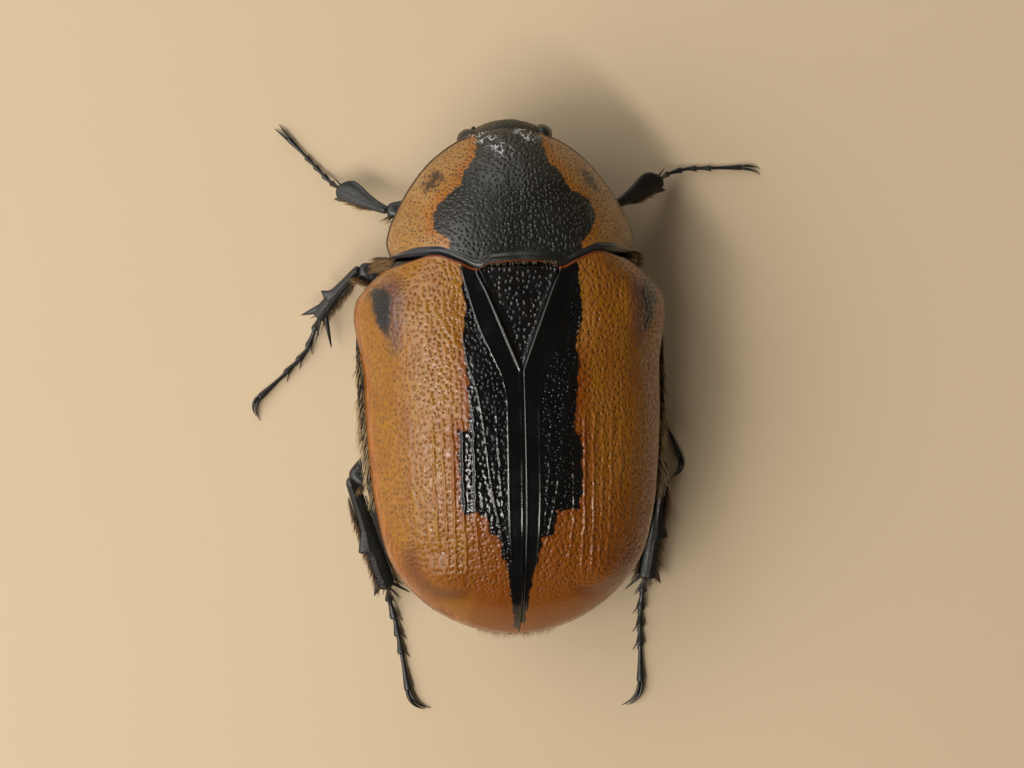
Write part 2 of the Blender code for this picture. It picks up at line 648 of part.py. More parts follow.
def mesepimeron(side):
    """The small black wedge between the pronotum's hind corner and the shoulder."""
    return limb(on_side(MESEPIMERON_PATH, side), MESEPIMERON_RADII, 8)


def head():
    """The head, bent down, with a socket for each eye and a notched front edge."""
    rings = []
    for z, half, depth, centre in HEAD_RINGS:
        ring = []
        for step in range(HEAD_SIDES):
            angle = 2.0 * math.pi * step / HEAD_SIDES
            x = half * signed_power(math.cos(angle), 2.0 / HEAD_EXPONENT)
            y = centre + depth * signed_power(math.sin(angle), 2.0 / HEAD_EXPONENT)
            depth_share = max(0.0, CLYPEUS_NOTCH_TOP - z) / CLYPEUS_NOTCH_HEIGHT
            notch = CLYPEUS_NOTCH * max(0.0, 1.0 - abs(x) / CLYPEUS_NOTCH_HALF_WIDTH) * depth_share
            ring.append((x, y, z + notch))
        rings.append(ring)
    socket_radii = [radius + EYE_GAP for radius in EYE_RADII]
    sockets = [ellipsoid(on_side([EYE_CENTRE], side)[0], socket_radii) for side in (-1, 1)]
    return combine(loft(rings), sockets, "DIFFERENCE")


def eye(side):
    """One eye, seated in its socket."""
    return ellipsoid(on_side([EYE_CENTRE], side)[0], EYE_RADII)


def antenna(side):
    """A feeler folded back under the head: shaft, short links and a club of three leaves."""
    shaft = limb(on_side(ANTENNA_SHAFT, side), ANTENNA_SHAFT_RADII, FEELER_SIDES)
    links = limb(on_side(ANTENNA_LINKS, side), ANTENNA_LINK_RADII, FEELER_SIDES)
    leaves = []
    for place in (-1, 0, 1):
        leaf = [Vector(point) + place * Vector(shift)
                for point, shift in zip(ANTENNA_LEAF, ANTENNA_LEAF_SPREAD)]
        leaves.append(limb(on_side(leaf, side), ANTENNA_LEAF_RADII, FEELER_SIDES, ANTENNA_LEAF_FLATNESS))
    return combine(shaft, [links] + leaves)


def palp(side):
    """A short feeler of the mouth, in three links."""
    return limb(on_side(PALP_PATH, side), PALP_RADII, FEELER_SIDES)


def coxa(leg):
    """The hip piece, lying between the underside and the femur."""
    hip, knee = Vector(LEGS[leg]["hip"]), Vector(LEGS[leg]["knee"])
    outward = (knee - hip).normalized()
    end = hip - outward * JOINT_GAP
    root = Vector((hip.x * 0.2, hip.y - 0.1, hip.z + 0.1))
    kind = LEGS[leg]["kind"]
    radii = [share * COXA_RADIUS[kind] for share in COXA_SHARES]
    path = [root, root.lerp(end, 0.3), root.lerp(end, 0.72), end]
    return limb(path, radii, LEG_SIDES, COXA_FLATNESS[kind])


def femur(leg):
    """The thigh, thickest a third of the way out, with rounded ends."""
    hip, knee = Vector(LEGS[leg]["hip"]), Vector(LEGS[leg]["knee"])
    radii = [FEMUR_RADIUS[LEGS[leg]["kind"]] * share for share in FEMUR_SHARES]
    return limb([hip.lerp(knee, place) for place in FEMUR_PLACES], radii, LEG_SIDES, FEMUR_FLATNESS)


def tibia(leg):
    """The shin, widening to its end, with its outer teeth and end spurs."""
    knee, ankle = Vector(LEGS[leg]["knee"]), Vector(LEGS[leg]["ankle"])
    kind = LEGS[leg]["kind"]
    run = (ankle - knee).normalized()
    start = knee + run * JOINT_GAP
    outward = run.cross(UP).normalized()
    if outward.x * knee.x < 0.0:
        outward = -outward
    near, far, wide, rim = TIBIA_RADII[kind]
    shaft = limb([start.lerp(ankle, place) for place in TIBIA_PLACES],
                 [near * TIBIA_END_SHARE, near, far, wide, rim, rim * TIBIA_END_SHARE], LEG_SIDES,
                 TIBIA_FLATNESS[kind])
    if kind == "front":
        middle = start.lerp(ankle, FRONT_TOOTH_PLACE)
        tooth_tip = middle + Vector((run.x * FRONT_TOOTH_LEAN, -FRONT_TOOTH_REACH, 0.0))
        spur_tip = ankle + Vector((0.0, FRONT_SPUR_REACH, 0.0))
        teeth = [cone(start.lerp(ankle, FRONT_SPUR_PLACE), spur_tip, FRONT_SPUR_RADIUS),
                 cone(middle, tooth_tip, FRONT_TOOTH_RADIUS)]
    else:
        teeth = []
        for root_place, tip_place, reach, onward, radius in SHIN_TEETH:
            tip = start.lerp(ankle, tip_place) + outward * reach + run * onward
            teeth.append(cone(start.lerp(ankle, root_place), tip, radius))
        spur_root = start.lerp(ankle, SPUR_PLACE) - outward * SPUR_INSET
        teeth.append(cone(spur_root, ankle - outward * SPUR_TIP[0] + run * SPUR_TIP[1], SPUR_RADIUS))
    return combine(shaft, teeth)


def tarsus_path(leg):
    """Return a function that reads the foot's centre line from the ankle to the base of the claws."""
    ankle = Vector(LEGS[leg]["ankle"])
    points = [Vector(point) for point in LEGS[leg]["tarsus"]]
    points.insert(0, ankle + (points[0] - ankle).normalized() * JOINT_GAP)
    lengths = [0.0]
    for here, there in zip(points, points[1:]):
        lengths.append(lengths[-1] + (there - here).length)
    stations = [[(length, point[axis]) for length, point in zip(lengths, points)] for axis in range(3)]
    return lambda share: Vector([along(axis, lengths[-1] * share) for axis in stations])


def tarsus(leg):
    """The foot: five links with two spines each, and two claws."""
    place = tarsus_path(leg)
    path, radii = [], []
    thin, thick = TARSOMERE_RADII
    for link in range(TARSOMERES):
        for share, radius in zip(TARSOMERE_STATIONS, (thin, thick, thick * TARSOMERE_RIM_SHARE)):
            path.append(place((link + share) / TARSOMERES))
            radii.append(radius)
    pieces = []
    for link in range(TARSOMERES - 1):
        base = place((link + TARSOMERE_STATIONS[1]) / TARSOMERES)
        run = (place((link + 1.0) / TARSOMERES) - base).normalized()
        level = run.cross(UP).normalized()
        for turn in (-1, 1):
            onward, outward, drop = FOOT_SPINE
            tip = base + run * onward + level * (turn * outward)
            tip.z = max(tip.z + drop, FOOT_SPINE_LOWEST)
            pieces.append(cone(base, tip, FOOT_SPINE_RADIUS, 4))
    end = place(CLAW_ROOT)
    tip = Vector(LEGS[leg]["claw_tip"])
    run = (end - place(0.85)).normalized()
    level = run.cross(UP).normalized()
    root = end - run * 0.1
    for turn in (-1, 1):
        bend = end + run * ((tip - end).length * 0.55) + level * (CLAW_SPREAD * turn)
        point = tip + level * (CLAW_SPREAD * turn)
        claw = [root, root.lerp(bend, 0.55), bend, bend.lerp(point, 0.6), point]
        pieces.append(limb(claw, CLAW_RADII, 6, 1.0, FLOOR))
    return combine(limb(path, radii, 8, 0.9, FLOOR), pieces)


def build():
    """Make every node and set the beetle over the origin."""
    remove_all()
    made = [finish_object("head", head(), BLACK_SHELL),
            finish_object("pronotum", pronotum(), TAN_SHELL),
            finish_object("prosternum", prosternum(), BLACK_SHELL),
            finish_object("scutellum", scutellum(), BLACK_SHELL),
            finish_object("pterothorax", pterothorax(), BLACK_SHELL),
            finish_object("abdomen", abdomen(), BLACK_SHELL),
            finish_object("pygidium", pygidium(), BLACK_SHELL)]
    for side, word in ((1, "left"), (-1, "right")):
        made.append(finish_object("elytron_" + word, elytron(side), TAN_SHELL))
        made.append(finish_object("mesepimeron_" + word, mesepimeron(side), BLACK_SHELL))
        made.append(finish_object("eye_" + word, eye(side), EYE_GLOSS))
        made.append(finish_object("antenna_" + word, antenna(side), BLACK_SHELL))
        made.append(finish_object("palp_" + word, palp(side), BLACK_SHELL))
    for leg in LEGS:
        made.append(finish_object("coxa_" + leg, coxa(leg), BLACK_SHELL))
        made.append(finish_object("femur_" + leg, femur(leg), BLACK_SHELL))
        made.append(finish_object("tibia_" + leg, tibia(leg), BLACK_SHELL))
        made.append(finish_object("tarsus_" + leg, tarsus(leg), BLACK_SHELL))
    places = [vert.co for obj in made for vert in obj.data.vertices]
    low = [min(place[axis] for place in places) for axis in range(3)]
    high = [max(place[axis] for place in places) for axis in range(3)]
    anchor = bpy.data.objects.new("beetle", None)
    bpy.context.scene.collection.objects.link(anchor)
    anchor.location = (-(low[0] + high[0]) / 2.0, -(low[1] + high[1]) / 2.0, -low[2])
    for obj in made:
        obj.parent = anchor


build()
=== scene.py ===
"""The looks of the cowboy beetle (Chondropyga dorsalis): shells, eyes, legs, hair, floor, light and camera.

World frame: metres, +Z up, the head points to -Y and the beetle's left side is +X. Sizes are in millimetres
on the beetle's own midline and are moved into the frame by BodyFrame.
"""

import logging
import math
from collections.abc import Sequence
from dataclasses import dataclass, field
from enum import Enum

import bmesh
import bpy
import numpy as np
from mathutils import Matrix, Vector


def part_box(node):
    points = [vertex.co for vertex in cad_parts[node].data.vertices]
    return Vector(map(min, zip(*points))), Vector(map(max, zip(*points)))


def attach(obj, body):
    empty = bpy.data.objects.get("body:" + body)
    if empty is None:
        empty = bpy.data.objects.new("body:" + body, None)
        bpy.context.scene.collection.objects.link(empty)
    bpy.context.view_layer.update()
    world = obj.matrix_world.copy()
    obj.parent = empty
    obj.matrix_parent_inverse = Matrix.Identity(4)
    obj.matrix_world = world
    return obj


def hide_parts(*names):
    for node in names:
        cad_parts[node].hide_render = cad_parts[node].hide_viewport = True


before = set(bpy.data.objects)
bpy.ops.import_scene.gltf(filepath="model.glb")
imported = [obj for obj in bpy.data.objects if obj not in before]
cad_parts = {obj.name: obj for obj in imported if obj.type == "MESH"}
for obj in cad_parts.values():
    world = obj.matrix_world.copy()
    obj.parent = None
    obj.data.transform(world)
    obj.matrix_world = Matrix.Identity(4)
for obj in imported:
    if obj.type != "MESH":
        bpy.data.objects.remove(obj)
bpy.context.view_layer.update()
LOG = logging.getLogger("cowboy_beetle")

MM = 0.001

Stations = tuple[tuple[float, float], ...]
Place = tuple[float, float, float]
Colour = tuple[float, float, float]
Values = dict[str, np.ndarray | float]
Socket = bpy.types.NodeSocket
Tree = bpy.types.NodeTree
Finish = bpy.types.Material
Piece = bpy.types.Object


class Side(Enum):
    """The beetle's two sides; the value is the sign of x."""

    LEFT = 1
    RIGHT = -1

    @property
    def word(self) -> str:
        """The side's name in node and piece names."""
        return self.name.lower()

    @property
    def mirror(self) -> np.ndarray:
        """Factors that set a point of the left side on this side."""
        return np.array([float(self.value), 1.0, 1.0])


class LegKind(Enum):
    """Which pair a leg belongs to."""

    FRONT = "front"
    MID = "mid"
    HIND = "hind"


@dataclass(frozen=True)
class Curve:
    """A smooth curve through (place, value) stations that never overshoots them."""

    stations: Stations

    def __call__(self, place: np.ndarray | float) -> np.ndarray:
        """Read the curve at places; it is held level past both ends."""
        x, y = np.array(self.stations, float).T
        width = np.diff(x)
        slope = np.diff(y) / width
        tangent = np.zeros(len(x))
        tangent[0], tangent[-1] = slope[0], slope[-1]
        product = slope[:-1] * slope[1:]
        total = np.where(product > 0.0, slope[:-1] + slope[1:], 1.0)
        tangent[1:-1] = np.where(product > 0.0, 2.0 * product / total, 0.0)
        at = np.clip(np.asarray(place, float), x[0], x[-1])
        span = np.clip(np.searchsorted(x, at, side="right") - 1, 0, len(width) - 1)
        step = width[span]
        t = (at - x[span]) / step
        return ((2 * t**3 - 3 * t**2 + 1) * y[span] + (t**3 - 2 * t**2 + t) * step * tangent[span]
                + (3 * t**2 - 2 * t**3) * y[span + 1] + (t**3 - t**2) * step * tangent[span + 1])


def smooth_step(low: float, high: float, value: np.ndarray | float) -> np.ndarray:
    """Rise smoothly from 0 at low to 1 at high."""
    t = np.clip((np.asarray(value, float) - low) / (high - low), 0.0, 1.0)
    return t * t * (3.0 - 2.0 * t)


def hump(distance: np.ndarray, width: float) -> np.ndarray:
    """A rounded hump of height 1 that ends a width away from its middle."""
    return np.clip(1.0 - (distance / width) ** 2, 0.0, 1.0) ** 2


def signed_power(value: np.ndarray, power: float) -> np.ndarray:
    """Raise the size of each value to a power and keep its sign."""
    return np.sign(value) * np.abs(value) ** power


def spread(start: float, end: float, count: int, ease: float) -> np.ndarray:
    """Places from start to end, even for an ease of 0 and crowded at both ends for an ease of 1."""
    t = np.linspace(0.0, 1.0, count)
    return start + (end - start) * ((1.0 - ease) * t + ease * 0.5 * (1.0 - np.cos(np.pi * t)))


def half_turn(count: int) -> np.ndarray:
    """Shares across a rounded form from -1 to 1, crowded at both ends."""
    return np.sin(np.linspace(-0.5 * np.pi, 0.5 * np.pi, count))


def full_turn(count: int) -> np.ndarray:
    """Even angles once round."""
    return np.linspace(0.0, 2.0 * np.pi, count, endpoint=False)


def wander(a: np.ndarray, b: np.ndarray, size: float, seed: int) -> np.ndarray:
    """A smooth seeded unevenness over two coordinates.

    Args:
        a: First coordinate in millimetres.
        b: Second coordinate in millimetres.
        size: Rough width of one swell in millimetres.
        seed: Picks the pattern.

    Returns:
        Values between about -1 and 1.
    """
    draw = np.random.default_rng(seed)
    total = np.zeros(np.broadcast(a, b).shape)
    for _ in range(7):
        turn, phase = draw.uniform(0.0, 2.0 * np.pi, 2)
        pace = 2.0 * np.pi / (size * draw.uniform(0.7, 1.8))
        total = total + np.sin(pace * (a * np.cos(turn) + b * np.sin(turn)) + phase)
    return total / 4.0


def points_from(x: np.ndarray | float, y: np.ndarray | float, z: np.ndarray | float = 0.0) -> np.ndarray:
    """Points from three coordinates, each spread to the widest one's shape."""
    return np.stack(np.broadcast_arrays(x, y, z), axis=-1)


def picks(count: int, chosen: int) -> np.ndarray:
    """Evenly spaced row numbers out of a count, the first and the last among them."""
    return np.linspace(0, count - 1, chosen).round().astype(int)


def unit(vectors: np.ndarray) -> np.ndarray:
    """Scale each vector to length one."""
    return vectors / np.maximum(np.linalg.norm(vectors, axis=-1, keepdims=True), 1e-12)


def grid_normals(grid: np.ndarray) -> np.ndarray:
    """Unit normals of a grid of points: its change over columns crossed with its change over rows."""
    return unit(np.cross(np.gradient(grid, axis=1), np.gradient(grid, axis=0)))


def path_lengths(path: np.ndarray) -> np.ndarray:
    """Length from the start of a path to each of its points, along its first axis."""
    steps = np.linalg.norm(np.diff(path, axis=0), axis=-1)
    return np.concatenate([np.zeros((1,) + steps.shape[1:]), np.cumsum(steps, axis=0)])


def lengths_across(grid: np.ndarray) -> np.ndarray:
    """Length from a grid's first column to each of its points, along its rows."""
    return path_lengths(np.swapaxes(grid, 0, 1)).T


def even_points(path: np.ndarray, count: int) -> np.ndarray:
    """Points that are evenly spaced by length along a dense path of shape (many, parts)."""
    lengths = path_lengths(path)
    at = np.interp(np.linspace(0.0, lengths[-1], count), lengths, np.arange(len(path)))
    return np.stack([np.interp(at, np.arange(len(path)), part) for part in path.T], axis=-1)


def outline_distance(x: np.ndarray, y: np.ndarray, outline: Stations) -> np.ndarray:
    """Distance of places from a closed outline, negative inside it.

    Args:
        x: First coordinate of the places.
        y: Second coordinate of the places.
        outline: Corners of the outline in order.

    Returns:
        The distance at each place, in the outline's unit.
    """
    corners = np.array(outline, float)
    nearest = np.full(np.shape(x), np.inf)
    inside = np.zeros(np.shape(x), bool)
    for start, end in zip(corners, np.roll(corners, -1, axis=0)):
        edge = end - start
        share = ((x - start[0]) * edge[0] + (y - start[1]) * edge[1]) / max(edge @ edge, 1e-12)
        share = np.clip(share, 0.0, 1.0)
        nearest = np.minimum(nearest,
                             np.hypot(x - start[0] - share * edge[0], y - start[1] - share * edge[1]))
        if start[1] != end[1]:
            crosses = (start[1] > y) != (end[1] > y)
            inside ^= crosses & (x < start[0] + (y - start[1]) / (end[1] - start[1]) * edge[0])
    return np.where(inside, -nearest, nearest)


@dataclass(frozen=True)
class BodyFrame:
    """Moves places in millimetres on the beetle's own midline into the CAD frame in metres."""

    origin: tuple[float, float, float]
    rear_plate_y: float = 11.02

    @classmethod
    def read(cls) -> "BodyFrame":
        """Find the midline between the wing cases and the place of the rear plate."""
        left_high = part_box("elytron_left")[1]
        right_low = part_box("elytron_right")[0]
        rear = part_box("pygidium")[1].y / MM - cls.rear_plate_y
        return cls(((left_high.x + right_low.x) / 2.0 / MM, rear, 0.0))

    def place(self, points: np.ndarray) -> np.ndarray:
        """Turn millimetre places into metres in the frame."""
        return (np.asarray(points, float) + np.array(self.origin)) * MM


def laid_over(values: Values | None, grid: np.ndarray) -> Values:
    """Bring each value to the shape of a grid of points; one that has three parts at each stays."""
    return {name: value if np.shape(value) == np.shape(grid) else np.broadcast_to(value, np.shape(grid)[:-1])
            for name, value in (values or {}).items()}


@dataclass
class Skin:
    """A closed surface under construction in millimetres, with named values at its points."""

    count: int = 0
    points: list[np.ndarray] = field(default_factory=list)
    faces: list[np.ndarray] = field(default_factory=list)
    values: dict[str, list[tuple[np.ndarray, np.ndarray]]] = field(default_factory=dict)

    def add(self, points: np.ndarray, values: Values | None = None) -> np.ndarray:
        """Add points.

        Args:
            points: Places of shape (..., 3).
            values: Named numbers or vectors at the points.

        Returns:
            The points' numbers, in the same layout.
        """
        flat = np.asarray(points, float).reshape(-1, 3)
        numbers = np.arange(self.count, self.count + len(flat))
        self.points.append(flat)
        self.count += len(flat)
        for name, value in laid_over(values, points).items():
            self.values.setdefault(name, []).append((numbers, value.reshape(len(flat), -1)))
        return numbers.reshape(np.shape(points)[:-1])

    def grid(self, points: np.ndarray, values: Values | None = None, closed: bool = False) -> np.ndarray:
        """Add a grid of points and the quads between them.

        Args:
            points: Places of shape (rows, columns, 3).
            values: Named numbers or vectors at the points.
            closed: Whether the last column joins the first.

        Returns:
            The points' numbers, of shape (rows, columns).
        """
        numbers = self.add(points, values)
        ring = np.concatenate([numbers, numbers[:, :1]], axis=1) if closed else numbers
        quads = np.stack([ring[:-1, :-1], ring[:-1, 1:], ring[1:, 1:], ring[1:, :-1]], axis=-1)
        self.faces.append(quads.reshape(-1, 4))
        return numbers

    def cap(self, ring: np.ndarray, centre: np.ndarray, values: Values) -> None:
        """Close a ring of point numbers with a fan round a centre point."""
        middle = self.add(centre[None, :], values)[0]
        self.faces.append(np.stack([ring, np.roll(ring, -1), np.full(len(ring), middle)], axis=-1))

    def zip(self, first: np.ndarray, second: np.ndarray) -> None:
        """Fill between two runs of point numbers whose ends lie together, whatever their counts."""
        a, b = 0, 0
        last_a, last_b = len(first) - 1, len(second) - 1
        triangles = []
        while a < last_a or b < last_b:
            if b == last_b or (a < last_a and (a + 1) * last_b <= (b + 1) * last_a):
                triangles.append((first[a], first[a + 1], second[b]))
                a += 1
            else:
                triangles.append((first[a], second[b + 1], second[b]))
                b += 1
        self.faces.append(np.array(triangles))

    def close_between(self, outer: np.ndarray, inner: np.ndarray) -> None:
        """Join the four edges of an outer grid of point numbers to those of an inner one."""
        for pick in ((0, slice(None)), (slice(None), -1), (-1, slice(None)), (slice(None), 0)):
            self.zip(outer[pick], inner[pick])

    def tube(self, rings: np.ndarray, values: Values | None = None) -> None:
        """Add rings of shape (rings, points, 3) as a tube closed by a fan at each end."""
        laid = laid_over(values, rings)
        numbers = self.grid(rings, laid, closed=True)
        for row in (0, -1):
            ends = {name: value[row].mean(axis=0)[None] for name, value in laid.items()}
            self.cap(numbers[row], rings[row].mean(axis=0), ends)

    def plate(self, outer: np.ndarray, values: Values, inner: np.ndarray, radius: float, steps: int = 3,
              inner_values: Values | None = None, mirror: np.ndarray | float = 1.0) -> None:
        """Add a plate: an outer surface with rounded edges over a coarser inner one.

        Args:
            outer: Grid of the outer surface, facing outward.
            values: Named values over it.
            inner: Grid of the inner surface.
            radius: Radius of the rounded edges.
            steps: Rows of points in them.
            inner_values: Named values over the inner surface.
            mirror: Factors that set the plate on its side of the body.
        """
        edged = {name: rimmed(value, steps) for name, value in laid_over(values, outer).items()}
        numbers = self.grid(with_rim(outer, radius, steps) * mirror, edged)
        self.close_between(numbers, self.grid(inner * mirror, inner_values))

    def join(self, other: "Skin") -> None:
        """Take over all the points, faces and values of another skin."""
        for faces in other.faces:
            self.faces.append(faces + self.count)
        for name, runs in other.values.items():
            moved = [(numbers + self.count, value) for numbers, value in runs]
            self.values.setdefault(name, []).extend(moved)
        self.points.extend(other.points)
        self.count += other.count

    def build(self, name: str, body: BodyFrame, finish: Finish | None = None) -> Piece:
        """Make the mesh object, faces outward and smooth.

        Args:
            name: The object's name.
            body: Where the millimetre places lie in the frame.
            finish: Its material, unless a tree gives it later.

        Returns:
            The new object, at the origin and unturned.
        """
        mesh = bpy.data.meshes.new(name)
        faces = [face for run in self.faces for face in run.tolist()]
        mesh.from_pydata(body.place(np.concatenate(self.points)).tolist(), [], faces)
        for label, runs in self.values.items():
            width = runs[0][1].shape[1]
            filled = np.zeros((self.count, width), np.float32)
            for numbers, value in runs:
                filled[numbers] = value
            kind, slot = ("FLOAT_VECTOR", "vector") if width == 3 else ("FLOAT", "value")
            mesh.attributes.new(label, kind, "POINT").data.foreach_set(slot, filled.ravel())
        work = bmesh.new()
        work.from_mesh(mesh)
        bmesh.ops.recalc_face_normals(work, faces=work.faces[:])
        work.to_mesh(mesh)
        work.free()
        mesh.shade_smooth()
        if finish:
            mesh.materials.append(finish)
        obj = bpy.data.objects.new(name, mesh)
        bpy.context.scene.collection.objects.link(obj)
        return obj


def with_rim(grid: np.ndarray, radius: float, steps: int = 3) -> np.ndarray:
    """Round a grid's four edges downward, against its normals.

    Args:
        grid: Points of shape (rows, columns, 3), with normals from grid_normals pointing out.
        radius: Radius of the rounding in millimetres.
        steps: Rows of points in the rounding.

    Returns:
        A grid that is larger by that many steps on every edge.
    """
    for axis in (1, 0):
        normals = grid_normals(grid)
        first, last = [], []
        for step in range(1, steps + 1):
            angle = 0.5 * math.pi * step / steps
            for run, edge, next_in in ((first, 0, 1), (last, -1, -2)):
                rim, inner = np.take(grid, edge, axis), np.take(grid, next_in, axis)
                down = np.take(normals, edge, axis)
                out = unit(rim - inner)
                run.append(rim + radius * (math.sin(angle) * out - (1.0 - math.cos(angle)) * down))
        grid = np.concatenate([np.stack(first[::-1], axis), grid, np.stack(last, axis)], axis)
    return grid


def rimmed(values: np.ndarray, steps: int = 3) -> np.ndarray:
    """Carry the values at a grid's edges on to the rim that with_rim adds."""
    pad = [(steps, steps), (steps, steps)] + [(0, 0)] * (values.ndim - 2)
    return np.pad(values, pad, mode="edge")


def sweep(path: np.ndarray, side_radius: np.ndarray, up_radius: np.ndarray, sides: int,
          up: Sequence[float] = (0.0, 0.0, 1.0), exponent: float = 2.0) -> np.ndarray:
    """Set rings of a rounded section square to a path.

    Args:
        path: Centre points of shape (rings, 3).
        side_radius: Radius across the path and level, one for each ring.
        up_radius: Radius across the path and upright, one for each ring.
        sides: Points in each ring.
        up: The direction that counts as upright.
        exponent: 2 for ellipses, more for squarer sections.

    Returns:
        Rings of shape (rings, sides, 3).
    """
    run = unit(np.gradient(path, axis=0))
    level = unit(np.cross(run, np.broadcast_to(np.array(up, float), run.shape)))
    upright = np.cross(level, run)
    angle = full_turn(sides)
    across = signed_power(np.cos(angle), 2.0 / exponent)
    rise = signed_power(np.sin(angle), 2.0 / exponent)
    return (path[:, None, :]
            + np.asarray(side_radius)[:, None, None] * across[None, :, None] * level[:, None, :]
            + np.asarray(up_radius)[:, None, None] * rise[None, :, None] * upright[:, None, :])


def smooth_path(points: Sequence[Sequence[float]], count: int) -> np.ndarray:
    """Run a smooth curve through points, at evenly spaced places.

    Args:
        points: The points in order.
        count: How many places to return.

    Returns:
        Places of shape (count, 3).
    """
    corners = np.array(points, float)
    marks = path_lengths(corners)
    places = np.linspace(0.0, marks[-1], count)
    curves = [Curve(tuple(zip(marks.tolist(), corners[:, axis].tolist()))) for axis in range(3)]
    return np.stack([curve(places) for curve in curves], axis=-1)


def stalk(points: Sequence[Place], thickness: Stations, count: int, sides: int, wide: float = 1.0,
          deep: float = 1.0, up: Place = (0.0, 0.0, 1.0), exponent: float = 2.0) -> np.ndarray:
    """Rings of a rounded stalk that runs smoothly through points.

    Args:
        points: The points in order.
        thickness: Its radius by share of the way along it.
        count: Number of rings.
        sides: Points in each ring.
        wide: Factor of the level radius.
        deep: Factor of the upright radius.
        up: The direction that counts as upright.
        exponent: 2 for ellipses, more for squarer sections.

    Returns:
        Rings of shape (count, sides, 3).
    """
    radius = Curve(thickness)(np.linspace(0.0, 1.0, count))
    return sweep(smooth_path(points, count), wide * radius, deep * radius, sides, up, exponent)


SOCKET_KINDS = {float: "NodeSocketFloat", int: "NodeSocketInt", tuple: "NodeSocketColor"}

Feed = bpy.types.NodeSocket | float | str | tuple[float, ...]


class Wiring:
    """Adds nodes to one node tree and joins them."""

    def __init__(self, tree: Tree) -> None:
        """Work on a tree and clear what it holds."""
        self.tree = tree
        tree.nodes.clear()

    def feed(self, socket: Socket, value: Feed) -> None:
        """Join a socket to another one, or set its own value."""
        if isinstance(value, Socket):
            self.tree.links.new(value, socket)
        elif socket.type == "RGBA" and len(value) == 3:
            socket.default_value = (*value, 1.0)
        else:
            socket.default_value = value

    def node(self, kind: str, feeds: dict[str | int, Feed] | None = None,
             **settings: object) -> bpy.types.Node:
        """Add a node.

        Args:
            kind: The node's type name.
            feeds: What its inputs take, by socket name or number.
            settings: Properties of the node itself.

        Returns:
            The new node.
        """
        made = self.tree.nodes.new(kind)
        for name, value in settings.items():
            setattr(made, name, value)
        for name, value in (feeds or {}).items():
            self.feed(made.inputs[name], value)
        return made

    def put(self, name: str, value: Feed) -> None:
        """Feed one of the inputs of a material's shader."""
        self.feed(self.tree.nodes["Principled BSDF"].inputs[name], value)

    def math(self, operation: str, first: Feed, second: Feed = 0.0) -> Socket:
        """Combine two numbers."""
        return self.node("ShaderNodeMath", {0: first, 1: second}, operation=operation).outputs[0]

    def times(self, first: Feed, second: Feed) -> Socket:
        """Multiply two numbers."""
        return self.math("MULTIPLY", first, second)

    def plus(self, first: Feed, second: Feed) -> Socket:
        """Add two numbers."""
        return self.math("ADD", first, second)

    def minus(self, first: Feed, second: Feed) -> Socket:
        """Take the second number from the first."""
        return self.math("SUBTRACT", first, second)

    def join(self, first: Feed, second: Feed) -> Socket:
        """Add two vectors."""
        return self.node("ShaderNodeVectorMath", {0: first, 1: second}, operation="ADD").outputs[0]

    def scale(self, vector: Feed, factor: Feed) -> Socket:
        """Multiply a vector by a number."""
        return self.node("ShaderNodeVectorMath", {0: vector, "Scale": factor}, operation="SCALE").outputs[0]

    def stretch(self, vector: Feed, factors: Colour) -> Socket:
        """Multiply each part of a vector by its own number."""
        return self.node("ShaderNodeVectorMath", {0: vector, 1: factors}, operation="MULTIPLY").outputs[0]

    def ramp(self, value: Feed, start: Feed, end: Feed, low: float = 0.0, high: float = 1.0) -> Socket:
        """Go smoothly from low where a value is at start to high where it is at end."""
        feeds = {"Value": value, "From Min": start, "From Max": end, "To Min": low, "To Max": high}
        return self.node("ShaderNodeMapRange", feeds, interpolation_type="SMOOTHSTEP").outputs[0]

    def blend(self, factor: Feed, first: Feed, second: Feed) -> Socket:
        """Mix two colours."""
        return self.node("ShaderNodeMix", {0: factor, 6: first, 7: second}, data_type="RGBA").outputs[2]

    def noise(self, vector: Feed, scale: float, detail: float = 3.0, roughness: float = 0.55) -> Socket:
        """Read a noise between 0 and 1."""
        feeds = {"Vector": vector, "Scale": scale, "Detail": detail, "Roughness": roughness}
        return self.node("ShaderNodeTexNoise", feeds).outputs["Fac"]

    def drift(self, vector: Feed, scale: float, detail: float, reach: float) -> Socket:
        """Read a noise that drifts round 0 within half its reach."""
        return self.times(self.minus(self.noise(vector, scale, detail), 0.5), reach)

    def read(self, name: str, part: str = "Fac") -> Socket:
        """Read a named value of the mesh in a material."""
        return self.node("ShaderNodeAttribute", attribute_name=name).outputs[part]

    def named(self, name: str, kind: str = "FLOAT") -> Socket:
        """Read a named value of the mesh in Geometry Nodes."""
        return self.node("GeometryNodeInputNamedAttribute", {"Name": name},
                         data_type=kind).outputs["Attribute"]

    def bump(self, height: Feed, distance: float, **normal: Feed) -> Socket:
        """Turn a height into a normal, over another Normal where one is given."""
        return self.node("ShaderNodeBump", {"Height": height, "Distance": distance, **normal}).outputs[0]


Group = tuple[Wiring, bpy.types.NodeOutputs, bpy.types.NodeInputs]


